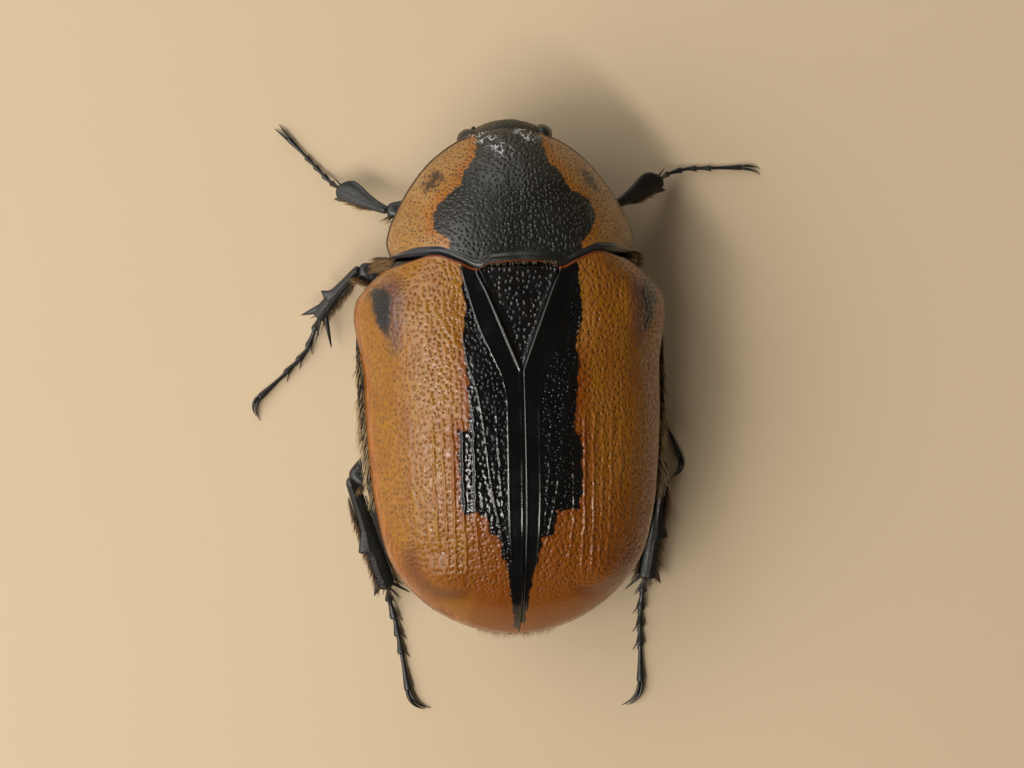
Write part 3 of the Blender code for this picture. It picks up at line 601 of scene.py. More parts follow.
def new_group(name: str, kind: str, inputs: dict[str, object], outputs: dict[str, str]) -> Group:
    """Start a node group.

    Args:
        name: The group's name.
        kind: ShaderNodeTree or GeometryNodeTree.
        inputs: First value of each input, or its socket type where it has none.
        outputs: Socket type by output name.

    Returns:
        The wiring of the group, its inputs' sockets and its outputs' sockets.
    """
    tree = bpy.data.node_groups.new(name, kind)
    for label, value in inputs.items():
        plain = isinstance(value, str)
        socket_type = value if plain else SOCKET_KINDS[type(value)]
        socket = tree.interface.new_socket(label, in_out="INPUT", socket_type=socket_type)
        if not plain:
            socket.default_value = value
    for label, socket_type in outputs.items():
        tree.interface.new_socket(label, in_out="OUTPUT", socket_type=socket_type)
    wiring = Wiring(tree)
    return wiring, wiring.node("NodeGroupInput").outputs, wiring.node("NodeGroupOutput").inputs


def puncture_nodes(wiring: Wiring, place: Feed, spacing: Feed, size: Feed) -> tuple[Feed, Feed, Feed]:
    """Wire the pattern of punctures that Geometry Nodes and materials share.

    Args:
        wiring: The tree to work in.
        place: Surface place in millimetres.
        spacing: Mean distance of the punctures in millimetres.
        size: Radius of a puncture as a share of the spacing.

    Returns:
        How deep a place lies in a puncture and in the wide hollow round it, from 0 to 1, and a random number
        for each puncture.
    """
    turned = wiring.scale(place, wiring.math("DIVIDE", 1.0, spacing))
    cells = wiring.node("ShaderNodeTexVoronoi", {"Vector": turned, "Scale": 1.0, "Randomness": 1.0},
                        voronoi_dimensions="2D", feature="F1").outputs
    chance = wiring.node("ShaderNodeSeparateXYZ", {0: cells["Color"]}).outputs[0]
    radius = wiring.times(size, wiring.ramp(chance, 0.0, 1.0, 0.6, 1.25))
    pit = wiring.ramp(cells["Distance"], radius, wiring.times(radius, 0.1))
    return pit, wiring.ramp(cells["Distance"], 0.8, 0.0), chance


def relief_tree() -> Tree:
    """Build the Geometry Nodes tree that sinks punctures and raises ribs and wrinkles on a shell."""
    wiring, given, result = new_group("shell_relief", "GeometryNodeTree", {
        "Geometry": "NodeSocketGeometry", "Spacing": 0.2, "Size": 0.42, "Pit Depth": 0.03, "Rib Height": 0.05,
        "Wrinkle Height": 0.02, "Wrinkle Size": 0.5, "Seed": 0.0, "Hollow Depth": 0.0,
        "Material": "NodeSocketMaterial"}, {"Geometry": "NodeSocketGeometry"})
    place = wiring.named("place", "FLOAT_VECTOR")
    pit, hollow, _ = puncture_nodes(wiring, place, given["Spacing"], given["Size"])
    depth = wiring.plus(wiring.times(pit, given["Pit Depth"]), wiring.times(hollow, given["Hollow Depth"]))
    sunk = wiring.times(depth, wiring.named("pitted"))
    raised = wiring.times(wiring.named("rib"), given["Rib Height"])
    seed = wiring.node("ShaderNodeCombineXYZ", {"Z": given["Seed"]}).outputs[0]
    moved = wiring.join(wiring.stretch(place, (1.0, 0.45, 1.0)), seed)
    swell = wiring.noise(moved, wiring.math("DIVIDE", 1.0, given["Wrinkle Size"]), 2.0, 0.5)
    level = wiring.times(wiring.minus(swell, 0.5), wiring.named("wrinkled"))
    total = wiring.plus(wiring.minus(raised, sunk), wiring.times(level, given["Wrinkle Height"]))
    offset = wiring.scale(wiring.node("GeometryNodeInputNormal").outputs[0], wiring.times(total, MM))
    shaped = wiring.node("GeometryNodeSetPosition", {"Geometry": given["Geometry"], "Offset": offset})
    real = wiring.node("GeometryNodeRealizeInstances", {"Geometry": shaped.outputs[0]})
    dressed = wiring.node("GeometryNodeSetMaterial",
                          {"Geometry": real.outputs[0], "Material": given["Material"]})
    wiring.feed(result["Geometry"], dressed.outputs[0])
    return wiring.tree


def bristle_tree() -> Tree:
    """Build the Geometry Nodes tree that sets curved bristles on a skin, roots' places as OFBake."""
    wiring, given, result = new_group("bristles", "GeometryNodeTree", {
        "Geometry": "NodeSocketGeometry", "Blade": "NodeSocketObject", "Count": 1000.0, "Length": 1.0,
        "Spread": 0.25, "Lift": 0.4, "Seed": 1, "Material": "NodeSocketMaterial"},
        {"Geometry": "NodeSocketGeometry"})
    thrown = wiring.node("GeometryNodeDistributePointsOnFaces",
                         {"Mesh": given["Geometry"], "Density": given["Count"], "Seed": given["Seed"]},
                         distribute_method="RANDOM")
    lie = wiring.named("lie", "FLOAT_VECTOR")
    lean = wiring.join(lie, wiring.scale(wiring.named("facing", "FLOAT_VECTOR"), given["Lift"]))
    jitter = wiring.node("FunctionNodeRandomValue", {
        "Min": (-1.0, -1.0, -1.0), "Max": (1.0, 1.0, 1.0), "Seed": given["Seed"]}, data_type="FLOAT_VECTOR")
    aim = wiring.join(lean, wiring.scale(jitter.outputs[0], given["Spread"]))
    turn = wiring.node("FunctionNodeAlignRotationToVector", {"Vector": aim}, axis="Z").outputs[0]
    bent = wiring.node("FunctionNodeAlignRotationToVector", {"Rotation": turn, "Vector": lie}, axis="Y",
                       pivot_axis="Z").outputs[0]
    size = wiring.node("FunctionNodeRandomValue", {2: 0.6, 3: 1.15, "Seed": given["Seed"]}, data_type="FLOAT")
    grown = wiring.times(wiring.times(size.outputs[1], given["Length"]), wiring.named("growth"))
    body = wiring.node("ShaderNodeCombineXYZ", {"X": grown, "Y": grown, "Z": grown}).outputs[0]
    blade = wiring.node("GeometryNodeObjectInfo", {"Object": given["Blade"]}).outputs["Geometry"]
    roots = wiring.node("GeometryNodeStoreNamedAttribute", {
        "Geometry": thrown.outputs["Points"], "Name": "root_place",
        "Value": wiring.named("unwrap", "FLOAT_VECTOR")}, data_type="FLOAT_VECTOR", domain="POINT").outputs[0]
    set_out = wiring.node("GeometryNodeInstanceOnPoints", {
        "Points": roots, "Instance": blade, "Rotation": bent, "Scale": body}).outputs[0]
    real = wiring.node("GeometryNodeRealizeInstances", {"Geometry": set_out}).outputs[0]
    patch = wiring.scale(wiring.named("patch_place", "FLOAT_VECTOR"), 0.003)
    spot = wiring.join(wiring.named("root_place", "FLOAT_VECTOR"), patch)
    baked = wiring.node("GeometryNodeStoreNamedAttribute",
                        {"Geometry": real, "Name": "OFBake", "Value": spot}, data_type="FLOAT2",
                        domain="CORNER").outputs[0]
    dressed = wiring.node("GeometryNodeSetMaterial", {"Geometry": baked, "Material": given["Material"]})
    wiring.feed(result["Geometry"], dressed.outputs[0])
    return wiring.tree


def apply_tree(obj: Piece, tree: Tree, inputs: dict[str, object]) -> None:
    """Run a Geometry Nodes tree on an object and keep the result as its plain mesh.

    Args:
        obj: The object, whose mesh is replaced.
        tree: The tree to run.
        inputs: The tree's inputs by name.
    """
    modifier = obj.modifiers.new(tree.name, "NODES")
    modifier.node_group = tree
    for socket in tree.interface.items_tree:
        if socket.item_type == "SOCKET" and socket.in_out == "INPUT" and socket.name in inputs:
            modifier[socket.identifier] = inputs[socket.name]
    bpy.context.view_layer.update()
    graph = bpy.context.evaluated_depsgraph_get()
    result = bpy.data.meshes.new_from_object(obj.evaluated_get(graph), preserve_all_data_layers=True,
                                             depsgraph=graph)
    obj.modifiers.remove(modifier)
    before = obj.data
    obj.data = result
    bpy.data.meshes.remove(before)
    result.name = obj.name


@dataclass(frozen=True)
class Relief:
    """A shell's punctures, ribs and wrinkles in millimetres; size is a share of the spacing."""

    spacing: float
    size: float
    pit_depth: float
    wrinkle_height: float
    wrinkle_size: float
    seed: float
    rib_height: float = 0.0
    hollow_depth: float = 0.0

    def shape(self, obj: Piece, tree: Tree, finish: Finish) -> Piece:
        """Give a piece its relief and its material."""
        apply_tree(obj, tree,
                   {"Spacing": self.spacing, "Size": self.size, "Pit Depth": self.pit_depth,
                    "Rib Height": self.rib_height, "Wrinkle Height": self.wrinkle_height,
                    "Wrinkle Size": self.wrinkle_size, "Hollow Depth": self.hollow_depth, "Seed": self.seed,
                    "Material": finish})
        return obj


class Effects:
    """The shader node groups that the materials share, each built once."""

    def __init__(self) -> None:
        """Build the punctures, the fine unevenness of shell and the drift between two shades."""
        wiring, given, result = new_group("punctures", "ShaderNodeTree", {
            "Place": "NodeSocketVector", "Spacing": 0.2, "Size": 0.42},
            {"Pit": "NodeSocketFloat", "Hollow": "NodeSocketFloat", "Chance": "NodeSocketFloat"})
        values = puncture_nodes(wiring, given["Place"], given["Spacing"], given["Size"])
        for name, value in zip(("Pit", "Hollow", "Chance"), values):
            wiring.feed(result[name], value)
        self.puncture_group = wiring.tree
        wiring, given, result = new_group("shell_grain", "ShaderNodeTree",
                                          {"Place": "NodeSocketVector", "Scale": 9.0},
                                          {"Height": "NodeSocketFloat", "Wear": "NodeSocketFloat"})
        place = wiring.scale(given["Place"], given["Scale"])
        cells = wiring.node("ShaderNodeTexVoronoi", {"Vector": place, "Scale": 1.6}, feature="SMOOTH_F1")
        fine = wiring.noise(place, 1.0, 4.0, 0.6)
        wiring.feed(result["Height"], wiring.plus(fine, wiring.times(cells.outputs["Distance"], 0.5)))
        wiring.feed(result["Wear"], wiring.ramp(wiring.noise(place, 0.13, 3.0, 0.6), 0.35, 0.65))
        self.grain_group = wiring.tree
        wiring, given, result = new_group("shell_mottle", "ShaderNodeTree", {
            "Place": "NodeSocketVector", "Scale": 0.8, "First": (0.5, 0.5, 0.5, 1.0),
            "Second": (0.4, 0.4, 0.4, 1.0)}, {"Colour": "NodeSocketColor"})
        drift = wiring.ramp(wiring.noise(given["Place"], given["Scale"], 5.0, 0.6), 0.36, 0.66)
        wiring.feed(result["Colour"], wiring.blend(drift, given["First"], given["Second"]))
        self.mottle_group = wiring.tree

    @staticmethod
    def use(wiring: Wiring, tree: Tree, **feeds: Feed) -> bpy.types.NodeOutputs:
        """Place one of the groups in a material."""
        return wiring.node("ShaderNodeGroup", feeds, node_tree=tree).outputs

    def punctures(self, wiring: Wiring, place: Feed, spacing: float, size: float) -> bpy.types.NodeOutputs:
        """Punctures on a surface place in millimetres, as Pit, Hollow and Chance."""
        return self.use(wiring, self.puncture_group, Place=place, Spacing=spacing, Size=size)

    def grain(self, wiring: Wiring, place: Feed, scale: float) -> bpy.types.NodeOutputs:
        """Fine unevenness of shell from noise and tiny cells, as Height and Wear."""
        return self.use(wiring, self.grain_group, Place=place, Scale=scale)

    def mottle(self, wiring: Wiring, place: Feed, scale: float, first: Colour, second: Colour) -> Socket:
        """A colour that drifts between two shades over the surface."""
        return self.use(wiring, self.mottle_group, Place=place, Scale=scale, First=first, Second=second)[0]


def new_material(name: str) -> tuple[Finish, Wiring]:
    """Start a material with one Principled shader."""
    made = bpy.data.materials.new(name)
    made.use_nodes = True
    wiring = Wiring(made.node_tree)
    shader = wiring.node("ShaderNodeBsdfPrincipled", name="Principled BSDF")
    wiring.node("ShaderNodeOutputMaterial", {"Surface": shader.outputs[0]})
    return made, wiring


@dataclass(frozen=True)
class WingCaseFinish:
    """The tan wing case with its black patch, shoulder spot and smooth amber border."""

    effects: Effects
    tan: Colour = (0.37, 0.155, 0.026)
    tan_deep: Colour = (0.28, 0.094, 0.010)
    ochre: Colour = (0.34, 0.150, 0.006)
    hollow_ochre: Colour = (0.27, 0.102, 0.001)
    amber: Colour = (0.41, 0.130, 0.004)
    amber_deep: Colour = (0.24, 0.056, 0.001)
    blotch: Colour = (0.15, 0.060, 0.014)
    # Own deep orange-red of the fringe beside the black patch, also used as painted shade over the right wing
    # case.
    ember: Colour = (0.21, 0.045, 0.001)
    pit_brown: Colour = (0.10, 0.040, 0.013)
    black: Colour = (0.0045, 0.0045, 0.005)
    spot_blue: Colour = (0.006, 0.008, 0.014)
    halo: Colour = (0.125, 0.052, 0.044)
    smudge: Colour = (0.13, 0.034, 0.007)
    edge_red: Colour = (0.05, 0.011, 0.004)
    front_red: Colour = (0.17, 0.032, 0.004)
    spacing: float = 0.21
    size: float = 0.34
    roughness: float = 0.36
    black_roughness: float = 0.16
    coat_weight: float = 0.36
    coat_roughness: float = 0.08
    ior: float = 1.42

    def build(self) -> Finish:
        """Make the material."""
        made, wiring = new_material("wing_case")
        place = wiring.read("place", "Vector")
        rim, pits = wiring.read("rim"), wiring.read("pitted")
        holes = self.effects.punctures(wiring, place, self.spacing, self.size)
        pitted = wiring.times(holes["Pit"], pits)
        colour = self.effects.mottle(wiring, wiring.stretch(place, (1.0, 0.4, 1.0)), 0.9, self.tan,
                                     self.tan_deep)
        streaks = wiring.ramp(wiring.noise(wiring.stretch(place, (1.0, 0.25, 1.0)), 2.4, 3.0), 0.46, 0.62)
        colour = wiring.blend(wiring.times(streaks, 0.8), colour, self.ochre)
        # Painted shade: the wide hollows round the punctures are coloured a darker, deeper ochre than the
        # ridges between them.
        shaded_hollows = wiring.times(holes["Hollow"], pits)
        colour = wiring.blend(wiring.times(shaded_hollows, 0.8), colour, self.hollow_ochre)
        blotches = wiring.times(wiring.ramp(wiring.noise(place, 4.6, 4.0), 0.54, 0.7), pits)
        colour = wiring.blend(wiring.times(blotches, 0.6), colour, self.blotch)
        grooves = wiring.ramp(wiring.noise(wiring.stretch(place, (1.0, 0.22, 1.0)), 4.2, 4.0), 0.42, 0.6)
        near_rim = wiring.ramp(rim, 1.8, 1.0)
        colour = wiring.blend(near_rim, colour, wiring.blend(grooves, self.amber, self.amber_deep))
        # Deep orange-red: own colour beside the black patch and before the tip, and painted shade spread over
        # the right wing case.
        colour = wiring.blend(wiring.times(wiring.read("ember"), 0.9), colour, self.ember)
        # Painted shade: a dark brown ring round the swelling before the tip.
        colour = wiring.blend(wiring.times(wiring.read("smudge"), 0.75), colour, self.smudge)
        speckle = wiring.ramp(wiring.noise(place, 6.0, 3.0), 0.35, 0.6, 0.55, 1.0)
        colour = wiring.blend(wiring.times(wiring.read("halo"), speckle), colour, self.halo)
        dots = wiring.times(wiring.ramp(pitted, 0.3, 0.95),
                            wiring.ramp(holes["Chance"], 0.3, 1.0, 0.12, 0.92))
        colour = wiring.blend(dots, colour, self.pit_brown)
        chance = wiring.times(wiring.minus(holes["Chance"], 0.5), 0.07)
        jag = wiring.plus(wiring.drift(place, 2.2, 4.0, 0.4), chance)
        spot = wiring.plus(wiring.read("spot"), wiring.times(jag, 1.1))
        colour = wiring.blend(wiring.ramp(spot, 0.13, -0.15), colour, self.spot_blue)
        inside = wiring.ramp(wiring.plus(wiring.read("patch"), jag), 0.05, -0.05)
        colour = wiring.blend(inside, colour, self.black)
        colour = wiring.blend(wiring.ramp(rim, 0.17, 0.07), colour, self.edge_red)
        colour = wiring.blend(wiring.ramp(wiring.read("front_run"), 0.08, 0.02), colour, self.front_red)
        wiring.put("Base Color", colour)
        grain = self.effects.grain(wiring, place, 5.0)
        rough = wiring.ramp(grain["Wear"], 0.0, 1.0, self.roughness - 0.05, self.roughness + 0.08)
        rough = wiring.plus(rough, wiring.times(near_rim, -0.12))
        wiring.put("Roughness",
                   wiring.plus(rough, wiring.times(inside, self.black_roughness - self.roughness)))
        height = wiring.minus(wiring.times(grain["Height"], 0.25), pitted)
        wiring.put("Normal", wiring.bump(height, 0.022 * MM))
        wiring.put("IOR", self.ior)
        wiring.put("Coat Weight", self.coat_weight)
        wiring.put("Coat Roughness", self.coat_roughness)
        return made


@dataclass(frozen=True)
class ShieldFinish:
    """The pronotum: tan sides, a black mark down the middle and dark beads round its edge."""

    effects: Effects
    tan: Colour = (0.36, 0.185, 0.052)
    tan_deep: Colour = (0.33, 0.155, 0.032)
    orange: Colour = (0.35, 0.118, 0.007)
    pit_brown: Colour = (0.07, 0.026, 0.007)
    spot_brown: Colour = (0.045, 0.014, 0.007)
    black: Colour = (0.014, 0.0135, 0.010)
    dusty: Colour = (0.030, 0.026, 0.016)
    residue: Colour = (0.84, 0.86, 0.88)
    edge_dark: Colour = (0.035, 0.010, 0.004)
    bead_blue: Colour = (0.024, 0.027, 0.036)
    spacing: float = 0.19
    size: float = 0.42
    roughness: float = 0.38
    coat_weight: float = 0.3
    coat_roughness: float = 0.22

    def build(self) -> Finish:
        """Make the material."""
        made, wiring = new_material("shield")
        place = wiring.read("place", "Vector")
        mark = wiring.read("mark")
        holes = self.effects.punctures(wiring, place, self.spacing, self.size)
        pitted = wiring.times(holes["Pit"], wiring.read("pitted"))
        colour = self.effects.mottle(wiring, place, 0.8, self.tan, self.tan_deep)
        colour = wiring.blend(wiring.times(wiring.ramp(mark, 0.62, 0.1), 0.9), colour, self.orange)
        colour = wiring.blend(wiring.times(wiring.ramp(pitted, 0.1, 0.7), 0.85), colour, self.pit_brown)
        chance = wiring.times(wiring.minus(holes["Chance"], 0.5), 0.07)
        jag = wiring.plus(wiring.drift(place, 2.4, 4.0, 0.3), chance)
        spot = wiring.plus(wiring.read("spot"), wiring.plus(wiring.drift(place, 3.4, 3.0, 0.9), jag))
        colour = wiring.blend(wiring.times(wiring.ramp(spot, 0.16, -0.2), 0.95), colour, self.spot_brown)
        inside = wiring.ramp(wiring.plus(mark, jag), 0.045, -0.045)
        front = wiring.ramp(wiring.read("front_run"), 3.4, 1.0)
        colour = wiring.blend(inside, colour, wiring.blend(front, self.black, self.dusty))
        # Thin near-white streaks near the front edge: dried residue whose glints are painted into the colour
        # as painted highlights.
        lines = wiring.math("ABSOLUTE", wiring.minus(wiring.noise(place, 1.7, 4.0, 0.6), 0.5))
        streaks = wiring.times(wiring.ramp(lines, 0.022, 0.006), wiring.read("residue"))
        colour = wiring.blend(streaks, colour, self.residue)
        colour = wiring.blend(wiring.ramp(wiring.read("rim"), 0.26, 0.16), colour, self.edge_dark)
        # Painted sheen: the hind bead turns a lighter blue-grey away from the middle.
        across = wiring.node("ShaderNodeSeparateXYZ", {"Vector": place}).outputs["X"]
        aside = wiring.math("ABSOLUTE", wiring.minus(across, 20.0))
        bead = wiring.blend(wiring.ramp(aside, 2.0, 4.0), self.black, self.bead_blue)
        wiring.put("Base Color", wiring.blend(wiring.ramp(wiring.read("hind"), 0.38, 0.32), colour, bead))
        grain = self.effects.grain(wiring, place, 6.0)
        rough = wiring.ramp(grain["Wear"], 0.0, 1.0, self.roughness - 0.08, self.roughness + 0.06)
        wiring.put("Roughness", wiring.plus(rough, wiring.times(front, 0.1)))
        height = wiring.minus(wiring.times(grain["Height"], 0.22), pitted)
        wiring.put("Normal", wiring.bump(height, 0.03 * MM))
        wiring.put("Coat Weight", self.coat_weight)
        wiring.put("Coat Roughness", self.coat_roughness)
        return made


@dataclass(frozen=True)
class BlackFinish:
    """Black shell of one part: its shade, gloss, punctures and fine grain."""

    effects: Effects
    name: str
    colour: Colour = (0.007, 0.0068, 0.0066)
    second: Colour = (0.016, 0.012, 0.010)
    roughness: float = 0.3
    coat_weight: float = 0.4
    coat_roughness: float = 0.15
    spacing: float = 0.18
    size: float = 0.38
    pit_depth: float = 0.025
    grain_depth: float = 0.008
    grain_scale: float = 6.0

    def build(self) -> Finish:
        """Make the material, whose punctures read the mesh's place and pitted values."""
        made, wiring = new_material(self.name)
        place = wiring.read("place", "Vector")
        wiring.put("Base Color", self.effects.mottle(wiring, place, 0.7, self.colour, self.second))
        grain = self.effects.grain(wiring, place, self.grain_scale)
        wiring.put("Roughness",
                   wiring.ramp(grain["Wear"], 0.0, 1.0, self.roughness - 0.05, self.roughness + 0.1))
        holes = self.effects.punctures(wiring, place, self.spacing, self.size)
        pitted = wiring.times(holes["Pit"], wiring.read("pitted"))
        fine = wiring.bump(grain["Height"], self.grain_depth * MM)
        wiring.put("Normal", wiring.bump(wiring.times(pitted, -1.0), self.pit_depth * MM, Normal=fine))
        wiring.put("Coat Weight", self.coat_weight)
        wiring.put("Coat Roughness", self.coat_roughness)
        return made


@dataclass(frozen=True)
class EyeFinish:
    """The dark glossy eye with its net of facets."""

    colour: Colour = (0.008, 0.008, 0.006)
    second: Colour = (0.024, 0.018, 0.011)
    facet: float = 0.035

    def build(self) -> Finish:
        """Make the material."""
        made, wiring = new_material("faceted_eye")
        feeds = {"Vector": wiring.read("place", "Vector"), "Scale": 1.0 / self.facet, "Randomness": 0.25}
        facets = wiring.node("ShaderNodeTexVoronoi", feeds, voronoi_dimensions="2D").outputs["Distance"]
        wiring.put("Base Color", wiring.blend(wiring.ramp(facets, 0.25, 0.6), self.second, self.colour))
        wiring.put("Normal", wiring.bump(wiring.times(facets, -1.0), 0.006 * MM))
        wiring.put("Roughness", 0.34)
        wiring.put("Coat Weight", 0.35)
        wiring.put("Coat Roughness", 0.12)
        return made


@dataclass(frozen=True)
class HairFinish:
    """Hair or bristle: its colour from root to tip and its sheen."""

    name: str
    root: Colour
    tip: Colour
    roughness: float = 0.45

    def build(self) -> Finish:
        """Make the material, which reads how far along a hair a point is."""
        made, wiring = new_material(self.name)
        place = wiring.node("ShaderNodeTexCoord").outputs["Object"]
        reach = wiring.plus(wiring.read("reach"), wiring.drift(place, 2500.0, 2.0, 0.5))
        # Darker toward the root: partly the hair's own colour, partly painted shade close to the skin.
        wiring.put("Base Color", wiring.blend(wiring.ramp(reach, 0.0, 1.0), self.root, self.tip))
        wiring.put("Roughness", self.roughness)
        return made


@dataclass(frozen=True)
class FloorFinish:
    """The plain pale studio floor, with only a breath of unevenness."""

    pale: Colour = (0.78, 0.605, 0.40)
    second: Colour = (0.76, 0.585, 0.38)

    def build(self) -> Finish:
        """Make the material."""
        made, wiring = new_material("studio_floor")
        place = wiring.node("ShaderNodeTexCoord").outputs["Object"]
        wiring.put("Base Color", wiring.blend(wiring.noise(place, 40.0, 4.0), self.pale, self.second))
        wiring.put("Normal", wiring.bump(wiring.noise(place, 900.0, 3.0), 0.01 * MM))
        wiring.put("Roughness", 0.75)
        return made


@dataclass(frozen=True)
class BodyShape:
    """The beetle's main curves in millimetres, by place along the body, as the solids have them."""

    half_width: Curve = Curve((
        (-5.6, 4.9), (-5.2, 5.6), (-4.6, 6.35), (-3.9, 6.8), (-3.1, 6.93), (-2.2, 6.82), (-0.8, 6.62),
        (2.3, 6.48), (4.6, 6.3), (6.0, 6.08), (7.2, 5.78), (8.0, 5.46), (8.7, 5.0), (9.4, 4.36),
        (10.0, 3.62), (10.6, 2.5), (10.95, 1.4), (11.1, 0.55)))
    crest: Curve = Curve((
        (-5.6, 9.42), (-3.0, 9.55), (0.0, 9.6), (3.0, 9.42), (6.0, 8.85), (8.0, 8.1), (9.4, 7.2),
        (10.3, 6.3), (10.9, 5.4), (11.1, 4.95)))
    margin: Curve = Curve(((-5.6, 5.0), (-3.0, 4.75), (2.0, 4.9), (7.0, 4.85), (11.1, 4.6)))
    keel: Curve = Curve((
        (-5.2, 2.6), (-4.2, 2.05), (-3.0, 1.9), (1.0, 1.95), (5.0, 2.0), (8.0, 2.5), (9.7, 3.4)))
    trunk_half_width: Curve = Curve((
        (-5.2, 4.9), (-4.6, 6.0), (-3.9, 6.6), (-3.1, 6.8), (-0.8, 6.9), (1.0, 6.84), (2.6, 6.7),
        (4.6, 6.52), (6.0, 6.3), (7.2, 5.9), (8.0, 5.46), (8.7, 4.9), (9.15, 4.4), (9.4, 3.1), (9.7, 1.6)))
    shield_half_width: Curve = Curve((
        (-10.95, 1.5), (-10.75, 2.15), (-10.15, 3.1), (-9.6, 3.7), (-9.0, 4.2), (-8.4, 4.62),
        (-7.8, 4.95), (-7.0, 5.32), (-6.2, 5.46), (-5.4, 5.3)))
    shield_crest: Curve = Curve((
        (-10.95, 6.6), (-10.8, 6.95), (-10.4, 7.35), (-9.4, 8.05), (-8.0, 8.75), (-6.6, 9.2), (-5.2, 9.42)))
    shield_margin: Curve = Curve(((-10.95, 5.95), (-10.3, 5.45), (-9.0, 4.95), (-7.5, 4.8), (-5.4, 5.0)))
    shield_keel: Curve = Curve(((-9.95, 3.4), (-8.8, 2.85), (-7.0, 2.7), (-5.3, 2.75)))
    shield_hind_edge: Curve = Curve((
        (0.0, -5.38), (1.2, -5.3), (1.83, -5.08), (2.6, -5.4), (3.6, -5.74), (5.6, -5.72)))
    back_exponent: float = 2.35
    shield_exponent: float = 2.1
    scutellum_base: float = -5.0
    scutellum_tip: float = -0.55
    scutellum_half_width: float = 1.72

    def back(self, x: np.ndarray, y: np.ndarray) -> np.ndarray:
        """Height of the smooth back of wing cases and scutellum."""
        margin = self.margin(y)
        side = np.clip(np.abs(x) / self.half_width(y), 0.0, 1.0)
        arch = (1.0 - side ** self.back_exponent) ** (1.0 / self.back_exponent)
        return margin + (self.crest(y) - margin) * arch

    def scutellum_reach(self, y: np.ndarray) -> np.ndarray:
        """How far a place lies from the scutellum's base (0) to its tip (1)."""
        return np.clip((y - self.scutellum_base) / (self.scutellum_tip - self.scutellum_base), 0.0, 1.0)

    def even_rows(self, half: Curve, crest: Curve, start: float, end: float, count: int) -> np.ndarray:
        """Places along the body that are evenly spaced along its outline and profile."""
        y = np.linspace(start, end, 4000)
        return even_points(np.stack([y, half(y), crest(y)], axis=-1), count)[:, 0]

    def below(self, y: np.ndarray, half: np.ndarray, level: np.ndarray, keel: np.ndarray,
              share: np.ndarray) -> np.ndarray:
        """Sections of the underside.

        Args:
            y: Places of the sections, shape (rows,).
            half: Half width of each section.
            level: Height of each section's sides.
            keel: Height of each section's lowest line.
            share: Places across from -1 to 1, shape (columns,).

        Returns:
            Points of shape (rows, columns, 3).
        """
        drop = np.clip(1.0 - np.abs(share) ** 1.8, 0.0, 1.0) ** 0.8
        z = level[:, None] - (level - keel)[:, None] * drop
        return points_from(half[:, None] * share, y[:, None], z)


@dataclass(frozen=True)
class Rib:
    """A raised line on a wing case: its distance from the suture by place, width and height share."""

    line: Curve
    width: float
    height: float
    start: float
    end: float
    crook: float = 0.0
    height_in_front: float = 1.0

    def raise_at(self, x: np.ndarray, y: np.ndarray, steep: np.ndarray) -> np.ndarray:
        """Read the rib's height share at places whose surface is widened by the steepness there."""
        fade = smooth_step(self.start, self.start + 0.5, y) * (1.0 - smooth_step(self.end - 0.9, self.end, y))
        behind = smooth_step(0.0, 2.6, y)
        share = self.height * fade * (self.height_in_front * (1.0 - behind) + behind)
        line = self.line(y)
        aside = self.crook * wander(9.0 * line, y, 0.55, 17)
        return share * hump((x - line - aside) * steep, self.width)


